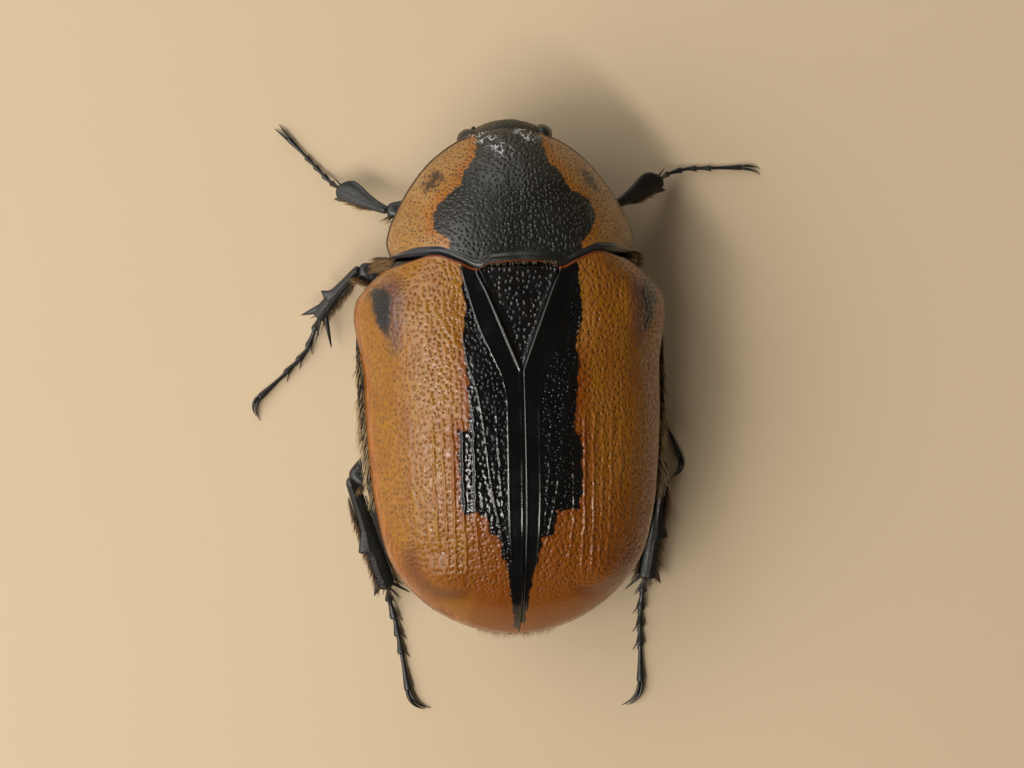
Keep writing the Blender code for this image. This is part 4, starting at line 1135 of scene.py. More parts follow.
@dataclass
class WingCase:
    """One wing case: a bent shell with ribs, punctures, a black patch and a shoulder spot."""

    side: Side
    body: BodyFrame
    shape: BodyShape
    front: float = -5.2
    apex: float = 11.08
    thickness: float = 0.4
    rim_radius: float = 0.07
    suture_gap: float = 0.012
    pronotum_gap: float = 0.02
    lip_radius: float = 0.2
    rows: int = 380
    columns: int = 225
    lip_columns: int = 8
    inner_rows: int = 60
    inner_columns: int = 22
    pit_spacing: float = 0.21
    pit_size: float = 0.34
    pit_depth: float = 0.02
    hollow_depth: float = 0.022
    rib_height: float = 0.075
    wrinkle_height: float = 0.062
    wrinkle_size: float = 0.32
    ribs: tuple[Rib,
                ...] = (Rib(Curve(((-4.8, 2.44), (-2.6, 1.83), (-1.0, 1.15), (-0.2, 0.83), (0.9, 0.68),
                                   (4.6, 0.68), (6.2, 0.64), (8.4, 0.5))), 0.055, 0.3, -5.1, 8.8),
                        Rib(Curve(((0.6, 1.2), (2.6, 1.12), (4.6, 1.02), (6.4, 0.84))), 0.08, 0.22, 0.6, 6.4,
                            0.04),
                        Rib(Curve(((-4.8, 2.85), (-1.0, 2.36), (0.0, 2.05), (1.1, 1.83), (2.5, 1.66),
                                   (4.0, 1.5), (4.8, 1.38), (6.7, 0.98), (7.6, 0.8))), 0.06, 0.32, -3.2,
                            7.8),
                        Rib(Curve(((-4.8, 3.2), (-1.0, 2.75), (0.5, 2.3), (2.0, 2.15), (5.4, 2.15),
                                   (8.2, 1.9))), 0.1, 0.4, -4.7, 8.4, 0.04, 0.2),
                        Rib(Curve(((-4.8, 3.55), (-1.0, 3.0), (2.0, 2.66), (5.8, 2.62), (8.4, 2.5))), 0.1,
                            0.6, -4.7, 8.6, 0.045, 0.12),
                        Rib(Curve(((-4.8, 3.9), (0.3, 3.15), (5.6, 3.05), (8.4, 2.95))), 0.1, 0.6, -4.7, 8.5,
                            0.045, 0.15),
                        Rib(Curve(((-4.6, 4.3), (0.0, 3.6), (5.6, 3.42), (8.2, 3.3))), 0.1, 0.35, -4.5, 8.3,
                            0.05, 0.15),
                        Rib(Curve(((-4.5, 4.7), (0.0, 4.0), (5.6, 3.82), (8.0, 3.6))), 0.1, 0.45, -4.4, 8.1,
                            0.05, 0.2),
                        Rib(Curve(((-4.0, 5.0), (0.0, 4.5), (5.6, 4.22), (7.8, 3.95))), 0.12, 0.2, -3.2, 7.8,
                            0.05, 0.3),
                        Rib(Curve(((-3.0, 5.5), (0.0, 5.1), (5.6, 4.72), (7.6, 4.3))), 0.14, 0.2, -2.2, 7.6,
                            0.05, 0.4),)
    patch_left: Stations = (
        (2.52, -5.4), (2.52, -4.85), (2.4, -3.51), (2.57, -1.87), (2.37, -0.23), (2.33, 1.98), (2.84, 1.96),
        (2.8, 4.96), (2.64, 5.62), (2.08, 5.5), (1.65, 5.73), (1.48, 6.52), (1.09, 6.71), (0.97, 7.6),
        (0.77, 7.78), (0.6, 9.01), (0.29, 10.72), (-1.0, 11.5), (-1.0, -6.0))
    patch_right: Stations = (
        (2.6, -5.4), (2.6, -4.51), (2.73, -3.12), (2.46, -1.74), (2.46, -0.09), (2.19, 2.11), (2.54, 2.29),
        (2.56, 4.38), (2.38, 5.51), (1.4, 5.56), (1.27, 6.62), (0.75, 6.73), (0.58, 7.65), (0.33, 8.9),
        (0.14, 10.48), (-1.0, 11.5), (-1.0, -6.0))
    spot_outline: Stations = (
        (6.38, -4.14), (6.11, -4.4), (5.66, -4.4), (5.46, -3.95), (5.5, -3.4), (5.56, -2.9), (5.62, -2.2),
        (5.86, -2.3), (6.1, -2.8), (6.3, -3.5))
    halo_outline: Stations = ((6.0, -4.6), (5.5, -4.8), (4.95, -4.6), (4.85, -3.7), (5.0, -2.4), (5.2, -1.5),
                              (5.5, -1.35), (5.7, -2.0), (5.9, -2.8), (6.1, -3.6))
    smudge_centre: tuple[float, float] = (2.9, 7.3)
    smudge_radii: tuple[float, float] = (2.1, 1.95)

    def patch(self) -> Stations:
        """The black patch's outline on this side."""
        return self.patch_left if self.side is Side.LEFT else self.patch_right

    def inner_edge(self, y: np.ndarray) -> np.ndarray:
        """Distance of the wing case's inner edge from the midline."""
        beside = (self.shape.scutellum_half_width + 0.02) * (1.0 - self.shape.scutellum_reach(y))
        return self.suture_gap + self.rim_radius + beside

    def front_shift(self, x: np.ndarray) -> np.ndarray:
        """How far the front edge lies behind its first row, to follow the pronotum."""
        edge = self.shape.shield_hind_edge(x) + self.pronotum_gap + self.rim_radius
        edge = edge + 0.3 * np.maximum(0.0, x - 3.9)
        return np.minimum(edge, -4.8) - self.front

    def sheet(self) -> np.ndarray:
        """The outer surface before its relief, with the turned-in lip as its last columns."""
        y = self.shape.even_rows(self.shape.half_width, self.shape.crest, self.front, self.apex, self.rows)
        share = np.sin(np.linspace(0.0, 0.5 * np.pi, 500))
        turn = np.linspace(0.0, np.radians(110.0), self.lip_columns + 1)[1:]
        lines = []
        for row in y:
            inner, half = self.inner_edge(row), self.shape.half_width(row)
            x = inner + (half - inner) * share
            path = np.stack([x, self.shape.back(x, row)], axis=-1)
            lip = np.stack([half - self.lip_radius * (1.0 - np.cos(turn)),
                            path[-1, 1] - self.lip_radius * np.sin(turn)], axis=-1)
            lines.append(np.concatenate([even_points(path, self.columns), lip]))
        x, z = np.moveaxis(np.array(lines), -1, 0)
        fade = np.clip(1.0 - (y - self.front) / 1.5, 0.0, 1.0)[:, None]
        return points_from(x, y[:, None] + self.front_shift(x) * fade, z)

    def swells(self, x: np.ndarray, y: np.ndarray) -> np.ndarray:
        """Broad humps and hollows: shoulder, hump before the tip, and the sunk disc between them."""
        shoulder = 0.13 * hump(np.hypot((x - 5.3) / 0.9, (y + 3.6) / 1.3), 1.2)
        before_tip = 0.2 * hump(np.hypot(x - 3.5, (y - 8.3) / 0.8), 1.5)
        disc = -0.07 * hump(np.hypot((x - 3.4) / 1.6, (y - 1.0) / 6.0), 1.0)
        beside_scutellum = -0.08 * hump(np.hypot((x - 2.2) / 1.2, (y + 2.8) / 2.0), 1.0)
        behind_shoulder = -0.06 * hump(np.hypot((x - 6.1) / 0.8, (y + 0.6) / 2.4), 1.0)
        unevenness = 0.02 * wander(x, y, 3.2, 5 + self.side.value)
        return shoulder + before_tip + disc + beside_scutellum + behind_shoulder + unevenness

    def values(self, sheet: np.ndarray) -> Values:
        """The named values that the relief and the finish read, over the outer surface."""
        x, y = sheet[..., 0], sheet[..., 1]
        normals = grid_normals(sheet)
        steep = 1.0 / np.maximum(normals[..., 2], 0.25)
        from_edge = lengths_across(sheet)
        along = path_lengths(sheet[:, self.columns // 3])[:, None] + np.zeros_like(x)
        rim = from_edge[:, self.columns - 1][:, None] - from_edge
        front_run = path_lengths(sheet)
        beside_plate = 1.0 - smooth_step(-1.0, -0.2, y)
        toward_tip = smooth_step(-4.2, -2.0, y)
        width = 0.05 + 0.03 * beside_plate * toward_tip
        beads = (0.25 + (0.1 + 0.45 * toward_tip) * beside_plate) * hump(from_edge - 0.02, width)
        beads = beads * smooth_step(-5.1, -4.7, y)
        rib = beads + sum(one.raise_at(x, y, steep) for one in self.ribs)
        border = 0.25 * hump(rim - 0.95, 0.35) * smooth_step(-2.0, 0.0, y) * (1.0 - smooth_step(7.6, 8.8, y))
        edge_bead = 0.35 * hump(rim - 0.06, 0.12)
        tip = smooth_step(8.4, 9.6, y + 0.25 * (x - 2.0))
        inside = smooth_step(1.1, 1.6, rim + 0.12 * wander(x, y, 0.9, 3))
        beyond_first_rib = smooth_step(0.0, 0.14, (x - self.ribs[0].line(y)) * steep - 0.02)
        behind_front = smooth_step(0.04, 0.16, front_run)
        patch = outline_distance(x, y, self.patch())
        on_tan = smooth_step(-0.15, 0.05, patch)
        pitted = inside * (1.0 - 0.85 * tip) * beyond_first_rib * (1.0
                                                                   - 0.75 * np.clip(rib, 0, 1)) * behind_front
        pitted = pitted * (0.6 + 0.4 * on_tan)
        sparse = 0.4 * (1.0 - inside) * smooth_step(0.15, 0.3, rim) * (1.0 - tip)
        rugged = hump((x - 3.3) / 1.9, 1.0) * smooth_step(-1.5, 2.0, y) * (1.0 - smooth_step(8.2, 9.2, y))
        rugged = rugged * smooth_step(-0.1, 0.3, patch)
        # Painted shade: a ring of dark brown on the outer, lower slope of the swelling before the tip.
        ring = np.hypot((x - self.smudge_centre[0]) / self.smudge_radii[0],
                        (y - self.smudge_centre[1]) / self.smudge_radii[1])
        smudge = hump(ring - 0.95, 0.24) * smooth_step(1.9, 3.0, x) * smooth_step(6.4, 7.6, y)
        spot = outline_distance(x, y, self.spot_outline)
        halo = 1.0 - smooth_step(-0.45, 0.3, outline_distance(x, y, self.halo_outline))
        # Deep orange-red fringe beside the black patch and before the tip, the shell's own colour; the band
        # is wider on the right as painted shade.
        ember = 1.0 - smooth_step(0.0, 0.75 if self.side is Side.LEFT else 1.15, patch)
        ember = ember * smooth_step(-3.4, -0.4, y) * (1.0 - 0.6 * smooth_step(7.6, 9.6, y))
        before_apex = smooth_step(6.6, 8.4, y) * (1.0 - 0.6 * smooth_step(9.2, 10.4, y))
        inner_hind = 0.85 * smooth_step(2.9, 1.9, np.abs(x)) * smooth_step(4.9, 6.0, y)
        # On the right wing case the colour also spreads as painted shade, deeper toward the rear, on the side
        # turned away from the light.
        inner_hind_and_right_shade = inner_hind if self.side is Side.LEFT else 0.3 + 0.55 * smooth_step(3.0, 7.5, y)
        ember = np.maximum(ember, np.maximum(0.6 * before_apex, inner_hind_and_right_shade))
        elsewhere = 40.0 if self.side is Side.RIGHT else 0.0
        place = points_from(from_edge + self.inner_edge(y) + elsewhere, along + elsewhere)
        wrinkled = (0.35 + 0.65 * inside) * (0.15 + 0.85 * rugged) * (1.0 - 0.8 * tip)
        return {"place": place, "rim": np.maximum(rim, 0.0), "rib": rib + border + edge_bead,
                "pitted": pitted + sparse, "wrinkled": wrinkled, "smudge": smudge, "halo": halo,
                "ember": ember, "front_run": front_run, "spot": spot, "patch": patch}

    def build(self, tree: Tree, finish: Finish) -> Piece:
        """Make the finished wing case."""
        sheet = self.sheet()
        normals = grid_normals(sheet)
        swollen = sheet + self.swells(sheet[..., 0], sheet[..., 1])[..., None] * normals
        swollen[:, self.columns:] = sheet[:, self.columns:]
        rows = picks(self.rows, self.inner_rows)
        chosen = np.ix_(rows, picks(self.columns, self.inner_columns))
        inner = sheet[chosen] - self.thickness * normals[chosen]
        inner[:, 0, 0] = sheet[rows, 0, 0] - 0.5 * self.rim_radius
        skin = Skin()
        skin.plate(swollen, self.values(sheet), inner, self.rim_radius,
                   inner_values={"patch": -1.0, "front_run": 1.0}, mirror=self.side.mirror)
        relief = Relief(self.pit_spacing, self.pit_size, self.pit_depth, self.wrinkle_height,
                        self.wrinkle_size, 3.0 + self.side.value, self.rib_height, self.hollow_depth)
        return relief.shape(skin.build("wing_case_" + self.side.word, self.body), tree, finish)


@dataclass
class Shield:
    """The pronotum: a wide punctured shield with beads along its sides and hind edge."""

    body: BodyFrame
    shape: BodyShape
    front: float = -10.95
    hind: float = -5.4
    rows: int = 190
    columns: int = 330
    lip_columns: int = 6
    lip_radius: float = 0.1
    rim_radius: float = 0.06
    inner_rows: int = 30
    inner_columns: int = 40
    underside_drop: float = 0.12
    relief: Relief = Relief(0.19, 0.42, 0.026, 0.012, 0.5, 9.0, 0.07)
    mark_left: Stations = ((1.6, -12.6), (1.5, -11.1), (1.46, -10.72), (1.66, -9.79), (2.12, -9.35),
                           (2.33, -8.78), (3.05, -8.18), (3.58, -7.57), (3.55, -6.83), (2.91, -6.27),
                           (2.88, -5.0))
    mark_right: Stations = (
        (-2.83, -5.0), (-2.84, -6.04), (-3.35, -6.66), (-3.65, -7.33), (-3.32, -7.96), (-2.43, -8.51),
        (-2.05, -9.3), (-1.59, -9.72), (-1.43, -10.7), (-1.45, -11.1), (-1.6, -12.6))
    residue_centres: tuple[tuple[float, float], ...] = (
        (1.2, -10.85), (0.75, -10.6), (0.35, -10.2), (-0.6, -11.1), (-0.95, -10.85))
    askew: float = 0.1
    front_bulge: float = 0.3
    front_bulge_half_width: float = 2.0
    spots: tuple[tuple[float, float, float, float], ...] = (
        (3.79, -8.61, 3.11, -9.38), (-3.8, -8.52, -3.21, -9.33))

    def sheet(self) -> np.ndarray:
        """The dome before its relief, with a lip turned in at each side."""
        shape = self.shape
        y = shape.even_rows(shape.shield_half_width, shape.shield_crest, self.front, self.hind, self.rows)
        angle = np.linspace(-0.5 * np.pi, 0.5 * np.pi, 800)
        power = 2.0 / shape.shield_exponent
        turn = np.linspace(0.0, np.radians(100.0), self.lip_columns + 1)[1:]
        lines = []
        for row in y:
            half, margin = shape.shield_half_width(row), shape.shield_margin(row)
            rise = shape.shield_crest(row) - margin
            path = np.stack([half * signed_power(np.sin(angle), power),
                             margin + rise * np.abs(np.cos(angle)) ** power], axis=-1)
            lip = np.stack([half - self.lip_radius * (1.0 - np.cos(turn)),
                            margin - self.lip_radius * np.sin(turn)], axis=-1)
            lines.append(np.concatenate([lip[::-1] * (-1.0, 1.0), even_points(path, self.columns), lip]))
        x, z = np.moveaxis(np.array(lines), -1, 0)
        y = y[:, None]
        shift = (shape.shield_hind_edge(np.abs(x)) - self.hind) * np.clip(1.0 - (self.hind - y) / 1.6, 0.0,
                                                                          1.0)
        bulge = self.front_bulge * hump(x,
                                        self.front_bulge_half_width) * np.clip(1.0 - (y - self.front) / 1.3,
                                                                               0.0, 1.0)
        return points_from(x - self.askew * smooth_step(-10.9, -7.5, y), y + shift - bulge, z)

    def swells(self, x: np.ndarray, y: np.ndarray) -> np.ndarray:
        """Broad shaping: a hollow on each side and a slight dent before the scutellum."""
        sides = -0.09 * hump(np.hypot((np.abs(x) - 4.0) / 0.9, (y + 7.6) / 1.3), 1.0)
        dent = -0.06 * hump(np.hypot(x / 1.6, (y + 5.9) / 0.8), 1.0)
        line = -0.02 * hump(x, 0.5) * smooth_step(-10.2, -9.0, y)
        return sides + dent + line + 0.015 * wander(x, y, 2.6, 11)

    def values(self, sheet: np.ndarray) -> Values:
        """The named values that the relief and the finish read, over the dome."""
        x, y = sheet[..., 0], sheet[..., 1]
        across = lengths_across(sheet)
        last = across.shape[1] - 1 - self.lip_columns
        left_rim = across[:, last][:, None] - across
        right_rim = across - across[:, self.lip_columns][:, None]
        rim = np.maximum(np.minimum(left_rim, right_rim), 0.0)
        middle = across - across[:, across.shape[1] // 2][:, None]
        along = path_lengths(sheet[:, sheet.shape[1] // 2])[:, None] + np.zeros_like(x)
        edge = path_lengths(sheet)
        hind = edge[-1][None, :] - edge
        hind = hind / (1.0 - 0.72 * smooth_step(4.2, 5.4, np.abs(x)))
        bead = hump(rim - 0.09, 0.13) + 1.1 * hump(hind - 0.16, 0.2) + 0.8 * hump(edge - 0.08, 0.12)
        pitted = smooth_step(0.22, 0.4, rim) * smooth_step(0.36, 0.5, hind) * smooth_step(0.2, 0.35, edge)
        smooth_line = 1.0 - 0.7 * hump(x, 0.16) * smooth_step(-9.6, -8.8, y)
        # Where the near-white streaks of residue with painted highlights lie.
        residue = sum(hump(np.hypot((x - cx) / 0.6, (y - cy) / 0.42), 1.0) for cx, cy in self.residue_centres)
        mark = outline_distance(x, y, self.mark_left + self.mark_right)
        spot = np.full_like(x, 9.0)
        for x1, y1, x2, y2 in self.spots:
            run = np.array([x2 - x1, y2 - y1])
            share = np.clip(((x - x1) * run[0] + (y - y1) * run[1]) / (run @ run), 0.25, 0.75)
            distance = np.hypot(x - x1 - share * run[0], y - y1 - share * run[1])
            spot = np.minimum(spot, distance - 0.26)
        strength = 0.75 + 0.25 * smooth_step(0.3, -0.3, mark)
        return {"place": points_from(middle + 20.0, along + 70.0), "rim": rim, "hind": hind, "rib": bead,
                "pitted": pitted * smooth_line * strength, "wrinkled": 0.6 * pitted, "mark": mark,
                "spot": spot, "front_run": edge, "residue": residue}

    def build(self, tree: Tree, finish: Finish) -> Piece:
        """Make the finished pronotum."""
        sheet = self.sheet()
        outer = sheet + self.swells(sheet[..., 0], sheet[..., 1])[..., None] * grid_normals(sheet)
        rows = picks(self.rows, self.inner_rows)
        share = half_turn(self.inner_columns)
        edge = sheet[rows, self.lip_columns + self.columns - 1]
        y = sheet[rows, sheet.shape[1] // 2, 1][:, None] * (1.0 - np.abs(share)) + edge[:,
                                                                                        1:2] * np.abs(share)
        inner = points_from(0.95 * edge[:, :1] * share, y, edge[:, 2:] - self.underside_drop)
        skin = Skin()
        skin.plate(outer, self.values(sheet), inner, self.rim_radius, inner_values={"mark": -1.0})
        return self.relief.shape(skin.build("shield", self.body), tree, finish)


@dataclass
class Scutellum:
    """The long black triangle between the wing cases, sunk a little, with raised smooth edges."""

    body: BodyFrame
    shape: BodyShape
    base: float = -5.35
    sunk: float = 0.13
    thickness: float = 0.6
    rows: int = 150
    columns: int = 90
    tip_half_width: float = 0.05
    relief: Relief = Relief(0.25, 0.34, 0.035, 0.006, 0.3, 2.0)

    def build(self, tree: Tree, finish: Finish) -> Piece:
        """Make the finished scutellum."""
        shape = self.shape
        y = np.linspace(self.base, shape.scutellum_tip + 0.05, self.rows)[:, None]
        reach = (y - shape.scutellum_base) / (shape.scutellum_tip - shape.scutellum_base)
        half = np.maximum(shape.scutellum_half_width * np.minimum(1.0 - reach, 1.0), self.tip_half_width)
        share = spread(-1.0, 1.0, self.columns, 0.5)
        x = half * share
        from_side = half * (1.0 - np.abs(share))
        height = shape.back(x, y) - self.sunk + 0.06 * hump(from_side, 0.3) - 0.25 * hump(y - self.base, 0.35)
        top = points_from(x, y, height + 0.01 * wander(x, y, 1.3, 21))
        pitted = smooth_step(0.08, 0.2, from_side) * smooth_step(-0.5, -1.2, y)
        values = {"place": points_from(x + 60.0, y + 60.0), "pitted": pitted, "wrinkled": 0.7 * pitted}
        bottom = top[np.ix_(picks(self.rows, 16), picks(self.columns, 9))] - (0.0, 0.0, self.thickness)
        skin = Skin()
        skin.plate(top, values, bottom, 0.03, 2)
        return self.relief.shape(skin.build("scutellum_plate", self.body), tree, finish)

    def membrane(self, finish: Finish) -> Piece:
        """Make the thin orange-red skin that shows between the pronotum and the scutellum's base."""
        x = np.linspace(-1.7, 1.7, 60)
        y = self.shape.shield_hind_edge(np.abs(x)) + 0.04
        radius = 0.04 * np.sqrt(np.clip(1.02 - (x / 1.7) ** 2, 0.0, 1.0))
        rings = sweep(points_from(x, y, self.shape.back(x, y) - 0.06), radius, radius, 12)
        skin = Skin()
        skin.tube(rings, {"place": rings})
        return skin.build("plate_membrane", self.body, finish)


@dataclass
class Underside:
    """The black body below the shells: front chest, hind chest, abdomen, end plate and shoulder wedges."""

    body: BodyFrame
    shape: BodyShape
    columns: int = 150
    upper_columns: int = 40
    chest_front: float = -5.15
    chest_end: float = 0.83
    abdomen_front: float = 0.84
    abdomen_end: float = 9.15
    abdomen_tail: float = 9.7
    sternites: int = 5
    sternite_step: float = 0.15
    tuck: float = 0.75
    relief: Relief = Relief(0.26, 0.36, 0.025, 0.03, 0.3, 5.0)

    def body_skin(self, rings: np.ndarray) -> Skin:
        """A tube of rings round the body, with its surface places and punctures."""
        around = lengths_across(rings)
        aside = np.abs(rings[..., 0]) / np.abs(rings[..., 0]).max(axis=1)[:, None]
        off_edge = 1.0 - smooth_step(0.9, 0.97, aside)
        pitted = (0.35 + 0.65 * smooth_step(0.45, 0.75, aside)) * off_edge
        skin = Skin()
        skin.tube(rings, {"place": points_from(around + 90.0, rings[:, :1, 1] + 90.0), "pitted": pitted,
                          "wrinkled": 0.5 * off_edge})
        return skin

    def trunk_rings(self, y: np.ndarray, cover: np.ndarray) -> np.ndarray:
        """Sections of the hind body: full below the margin and tucked under the wing cases above."""
        shape = self.shape
        half, margin = shape.trunk_half_width(y), shape.margin(y)
        lower = shape.below(y, half, margin - 0.12, shape.keel(y), half_turn(self.columns))
        upper_half = np.minimum(half, shape.half_width(y)) - self.tuck
        rise = cover * (shape.crest(y) - margin - self.tuck)
        angle = np.linspace(0.5 * np.pi, -0.5 * np.pi, self.upper_columns)
        power = 2.0 / shape.back_exponent
        x = upper_half[:, None] * signed_power(np.sin(angle), power)
        z = (margin - 0.1)[:, None] + rise[:, None] * np.abs(np.cos(angle)) ** power
        return np.concatenate([lower, points_from(x, y[:, None], z)], axis=1)

    def front_chest(self) -> Skin:
        """The underside of the front body, below the pronotum."""
        shape = self.shape
        y = spread(-10.0, -5.45, 70, 0.5)
        half = shape.shield_half_width(y) - 0.14
        level = shape.shield_margin(y) - 0.13
        lower = shape.below(y, half, level, shape.shield_keel(y), half_turn(self.columns))
        across = np.abs(lower[..., 0]) / half[:, None]
        groove = 0.14 * hump(across - 0.52 - 0.04 * (lower[..., 1] + 8.0), 0.05)
        lower[..., 2] += groove - 0.12 * hump(lower[..., 0], 0.4)
        upper = lower[:, ::-1][:, 1:-1] * np.array([0.98, 1.0, 1.0])
        upper[..., 2] = (level + 0.02)[:, None]
        return self.body_skin(np.concatenate([lower, upper], axis=1))

    def hind_chest(self) -> Skin:
        """The middle body with its side plates, middle groove and blunt keel in front."""
        y = spread(self.chest_front, self.chest_end, 110, 0.4)
        rings = self.trunk_rings(y, smooth_step(-4.6, -4.35, y))
        lower = rings[:, :self.columns]
        aside = np.abs(lower[..., 0] / np.abs(lower[..., 0]).max(axis=1)[:, None])
        groove = 0.09 * hump(lower[..., 0], 0.14) * smooth_step(-3.6, -2.6, lower[..., 1])
        side_line = 0.1 * hump(aside - 0.74 - 0.018 * (lower[..., 1] + 2.0), 0.022)
        second = 0.07 * hump(aside - 0.9 - 0.012 * (lower[..., 1] + 2.0), 0.018)
        split = 0.12 * hump(lower[..., 1] + 3.35 + 1.2 * (aside - 0.5), 0.12) * smooth_step(0.3, 0.45, aside)
        lower[..., 2] += groove + side_line + second + split
        skin = self.body_skin(rings)
        keel = stalk([(0.0, -3.7, 2.45), (0.0, -4.9, 2.3), (0.0, -5.6, 2.12), (0.0, -6.05, 2.06),
                      (0.0, -6.16, 2.06)], ((0.0, 0.62), (0.5, 0.45), (0.8, 0.4), (0.94, 0.33), (1.0, 0.05)),
                     26, 28, deep=0.65)
        skin.tube(keel, {"place": points_from(np.arange(28) * 0.08 + 5.0, keel[..., 1]), "pitted": 0.3})
        return skin

    def abdomen(self) -> Skin:
        """The hind body, whose plates each step down over the next."""
        y = spread(self.abdomen_front, self.abdomen_tail, 190, 0.25)
        rings = self.trunk_rings(y, np.ones_like(y))
        place = (y - self.abdomen_front) / ((self.abdomen_end - self.abdomen_front) / self.sternites)
        within = place - np.floor(place)
        step = self.sternite_step * (1.0 - smooth_step(0.0, 0.9, within)) - 0.04 * hump(within - 0.93, 0.06)
        step = np.where(place < self.sternites, step, 0.0)
        side = np.abs(rings[:, :self.columns, 0])
        side = side / side.max(axis=1)[:, None]
        rings[:, :self.columns, 2] += step[:, None] * (1.0 - smooth_step(0.86, 1.0, side))
        return self.body_skin(rings)

    def end_plate(self) -> Skin:
        """The pygidium below the tips of the wing cases."""
        down = np.linspace(0.0, 1.0, 60)[:, None]
        x = 3.7 * np.sqrt(1.0 - 0.75 * down ** 2) * half_turn(130)
        y = 11.02 - 0.083 * x * x - 0.9 * down ** 2 - 0.05 * hump(x, 0.5) * smooth_step(0.0, 0.4, down)
        outer = points_from(x, y, 4.3 - 1.95 * down)[:, ::-1]
        inner = outer[np.ix_(picks(60, 10), picks(130, 20))] * (0.88, 1.0, 1.0) - (0.0, 0.5, 0.0)
        values = {"place": points_from(outer[..., 0] + 30.0, outer[..., 2] + 30.0), "pitted": 0.8,
                  "wrinkled": 1.0}
        skin = Skin()
        skin.plate(outer, values, inner, 0.08)
        return skin

    def shoulder_wedge(self, side: Side) -> Skin:
        """The small black wedge between the pronotum's hind corner and the shoulder."""
        rings = side.mirror * stalk(
            [(3.8, -5.45, 7.7), (4.3, -5.4, 7.1), (4.75, -5.34, 6.4), (5.2, -5.32, 5.4), (5.55, -5.42, 4.5),
             (5.35, -5.5, 3.95), (5.3, -5.5, 3.88)],
            ((0.0, 0.05), (0.05, 0.14), (0.35, 0.2), (0.6, 0.26), (0.8, 0.34), (0.97, 0.2), (1.0, 0.05)),
            44, 32, 1.05, up=(1.0, 0.0, 0.3))
        skin = Skin()
        skin.tube(rings, {"place": points_from(np.arange(32) * 0.05 + 12.0, rings[..., 2]), "pitted": 0.9,
                          "wrinkled": 1.0})
        return skin

    def build(self, tree: Tree, finish: Finish, rear_finish: Finish) -> dict[str, Piece]:
        """Make every piece of the underside.

        Args:
            tree: The relief tree.
            finish: Material of the chest, abdomen and wedges.
            rear_finish: Material of the end plate.

        Returns:
            The pieces by the name of the node that each replaces.
        """
        parts = {"prosternum": ("front_chest", self.front_chest()),
                 "pterothorax": ("hind_chest", self.hind_chest()),
                 "abdomen": ("abdomen_plates", self.abdomen()), "pygidium": ("end_plate", self.end_plate())}
        for side in Side:
            parts["mesepimeron_" + side.word] = ("shoulder_wedge_" + side.word, self.shoulder_wedge(side))
        return {node: self.relief.shape(skin.build(name, self.body), tree,
                                        rear_finish if node == "pygidium" else finish)
                for node, (name, skin) in parts.items()}


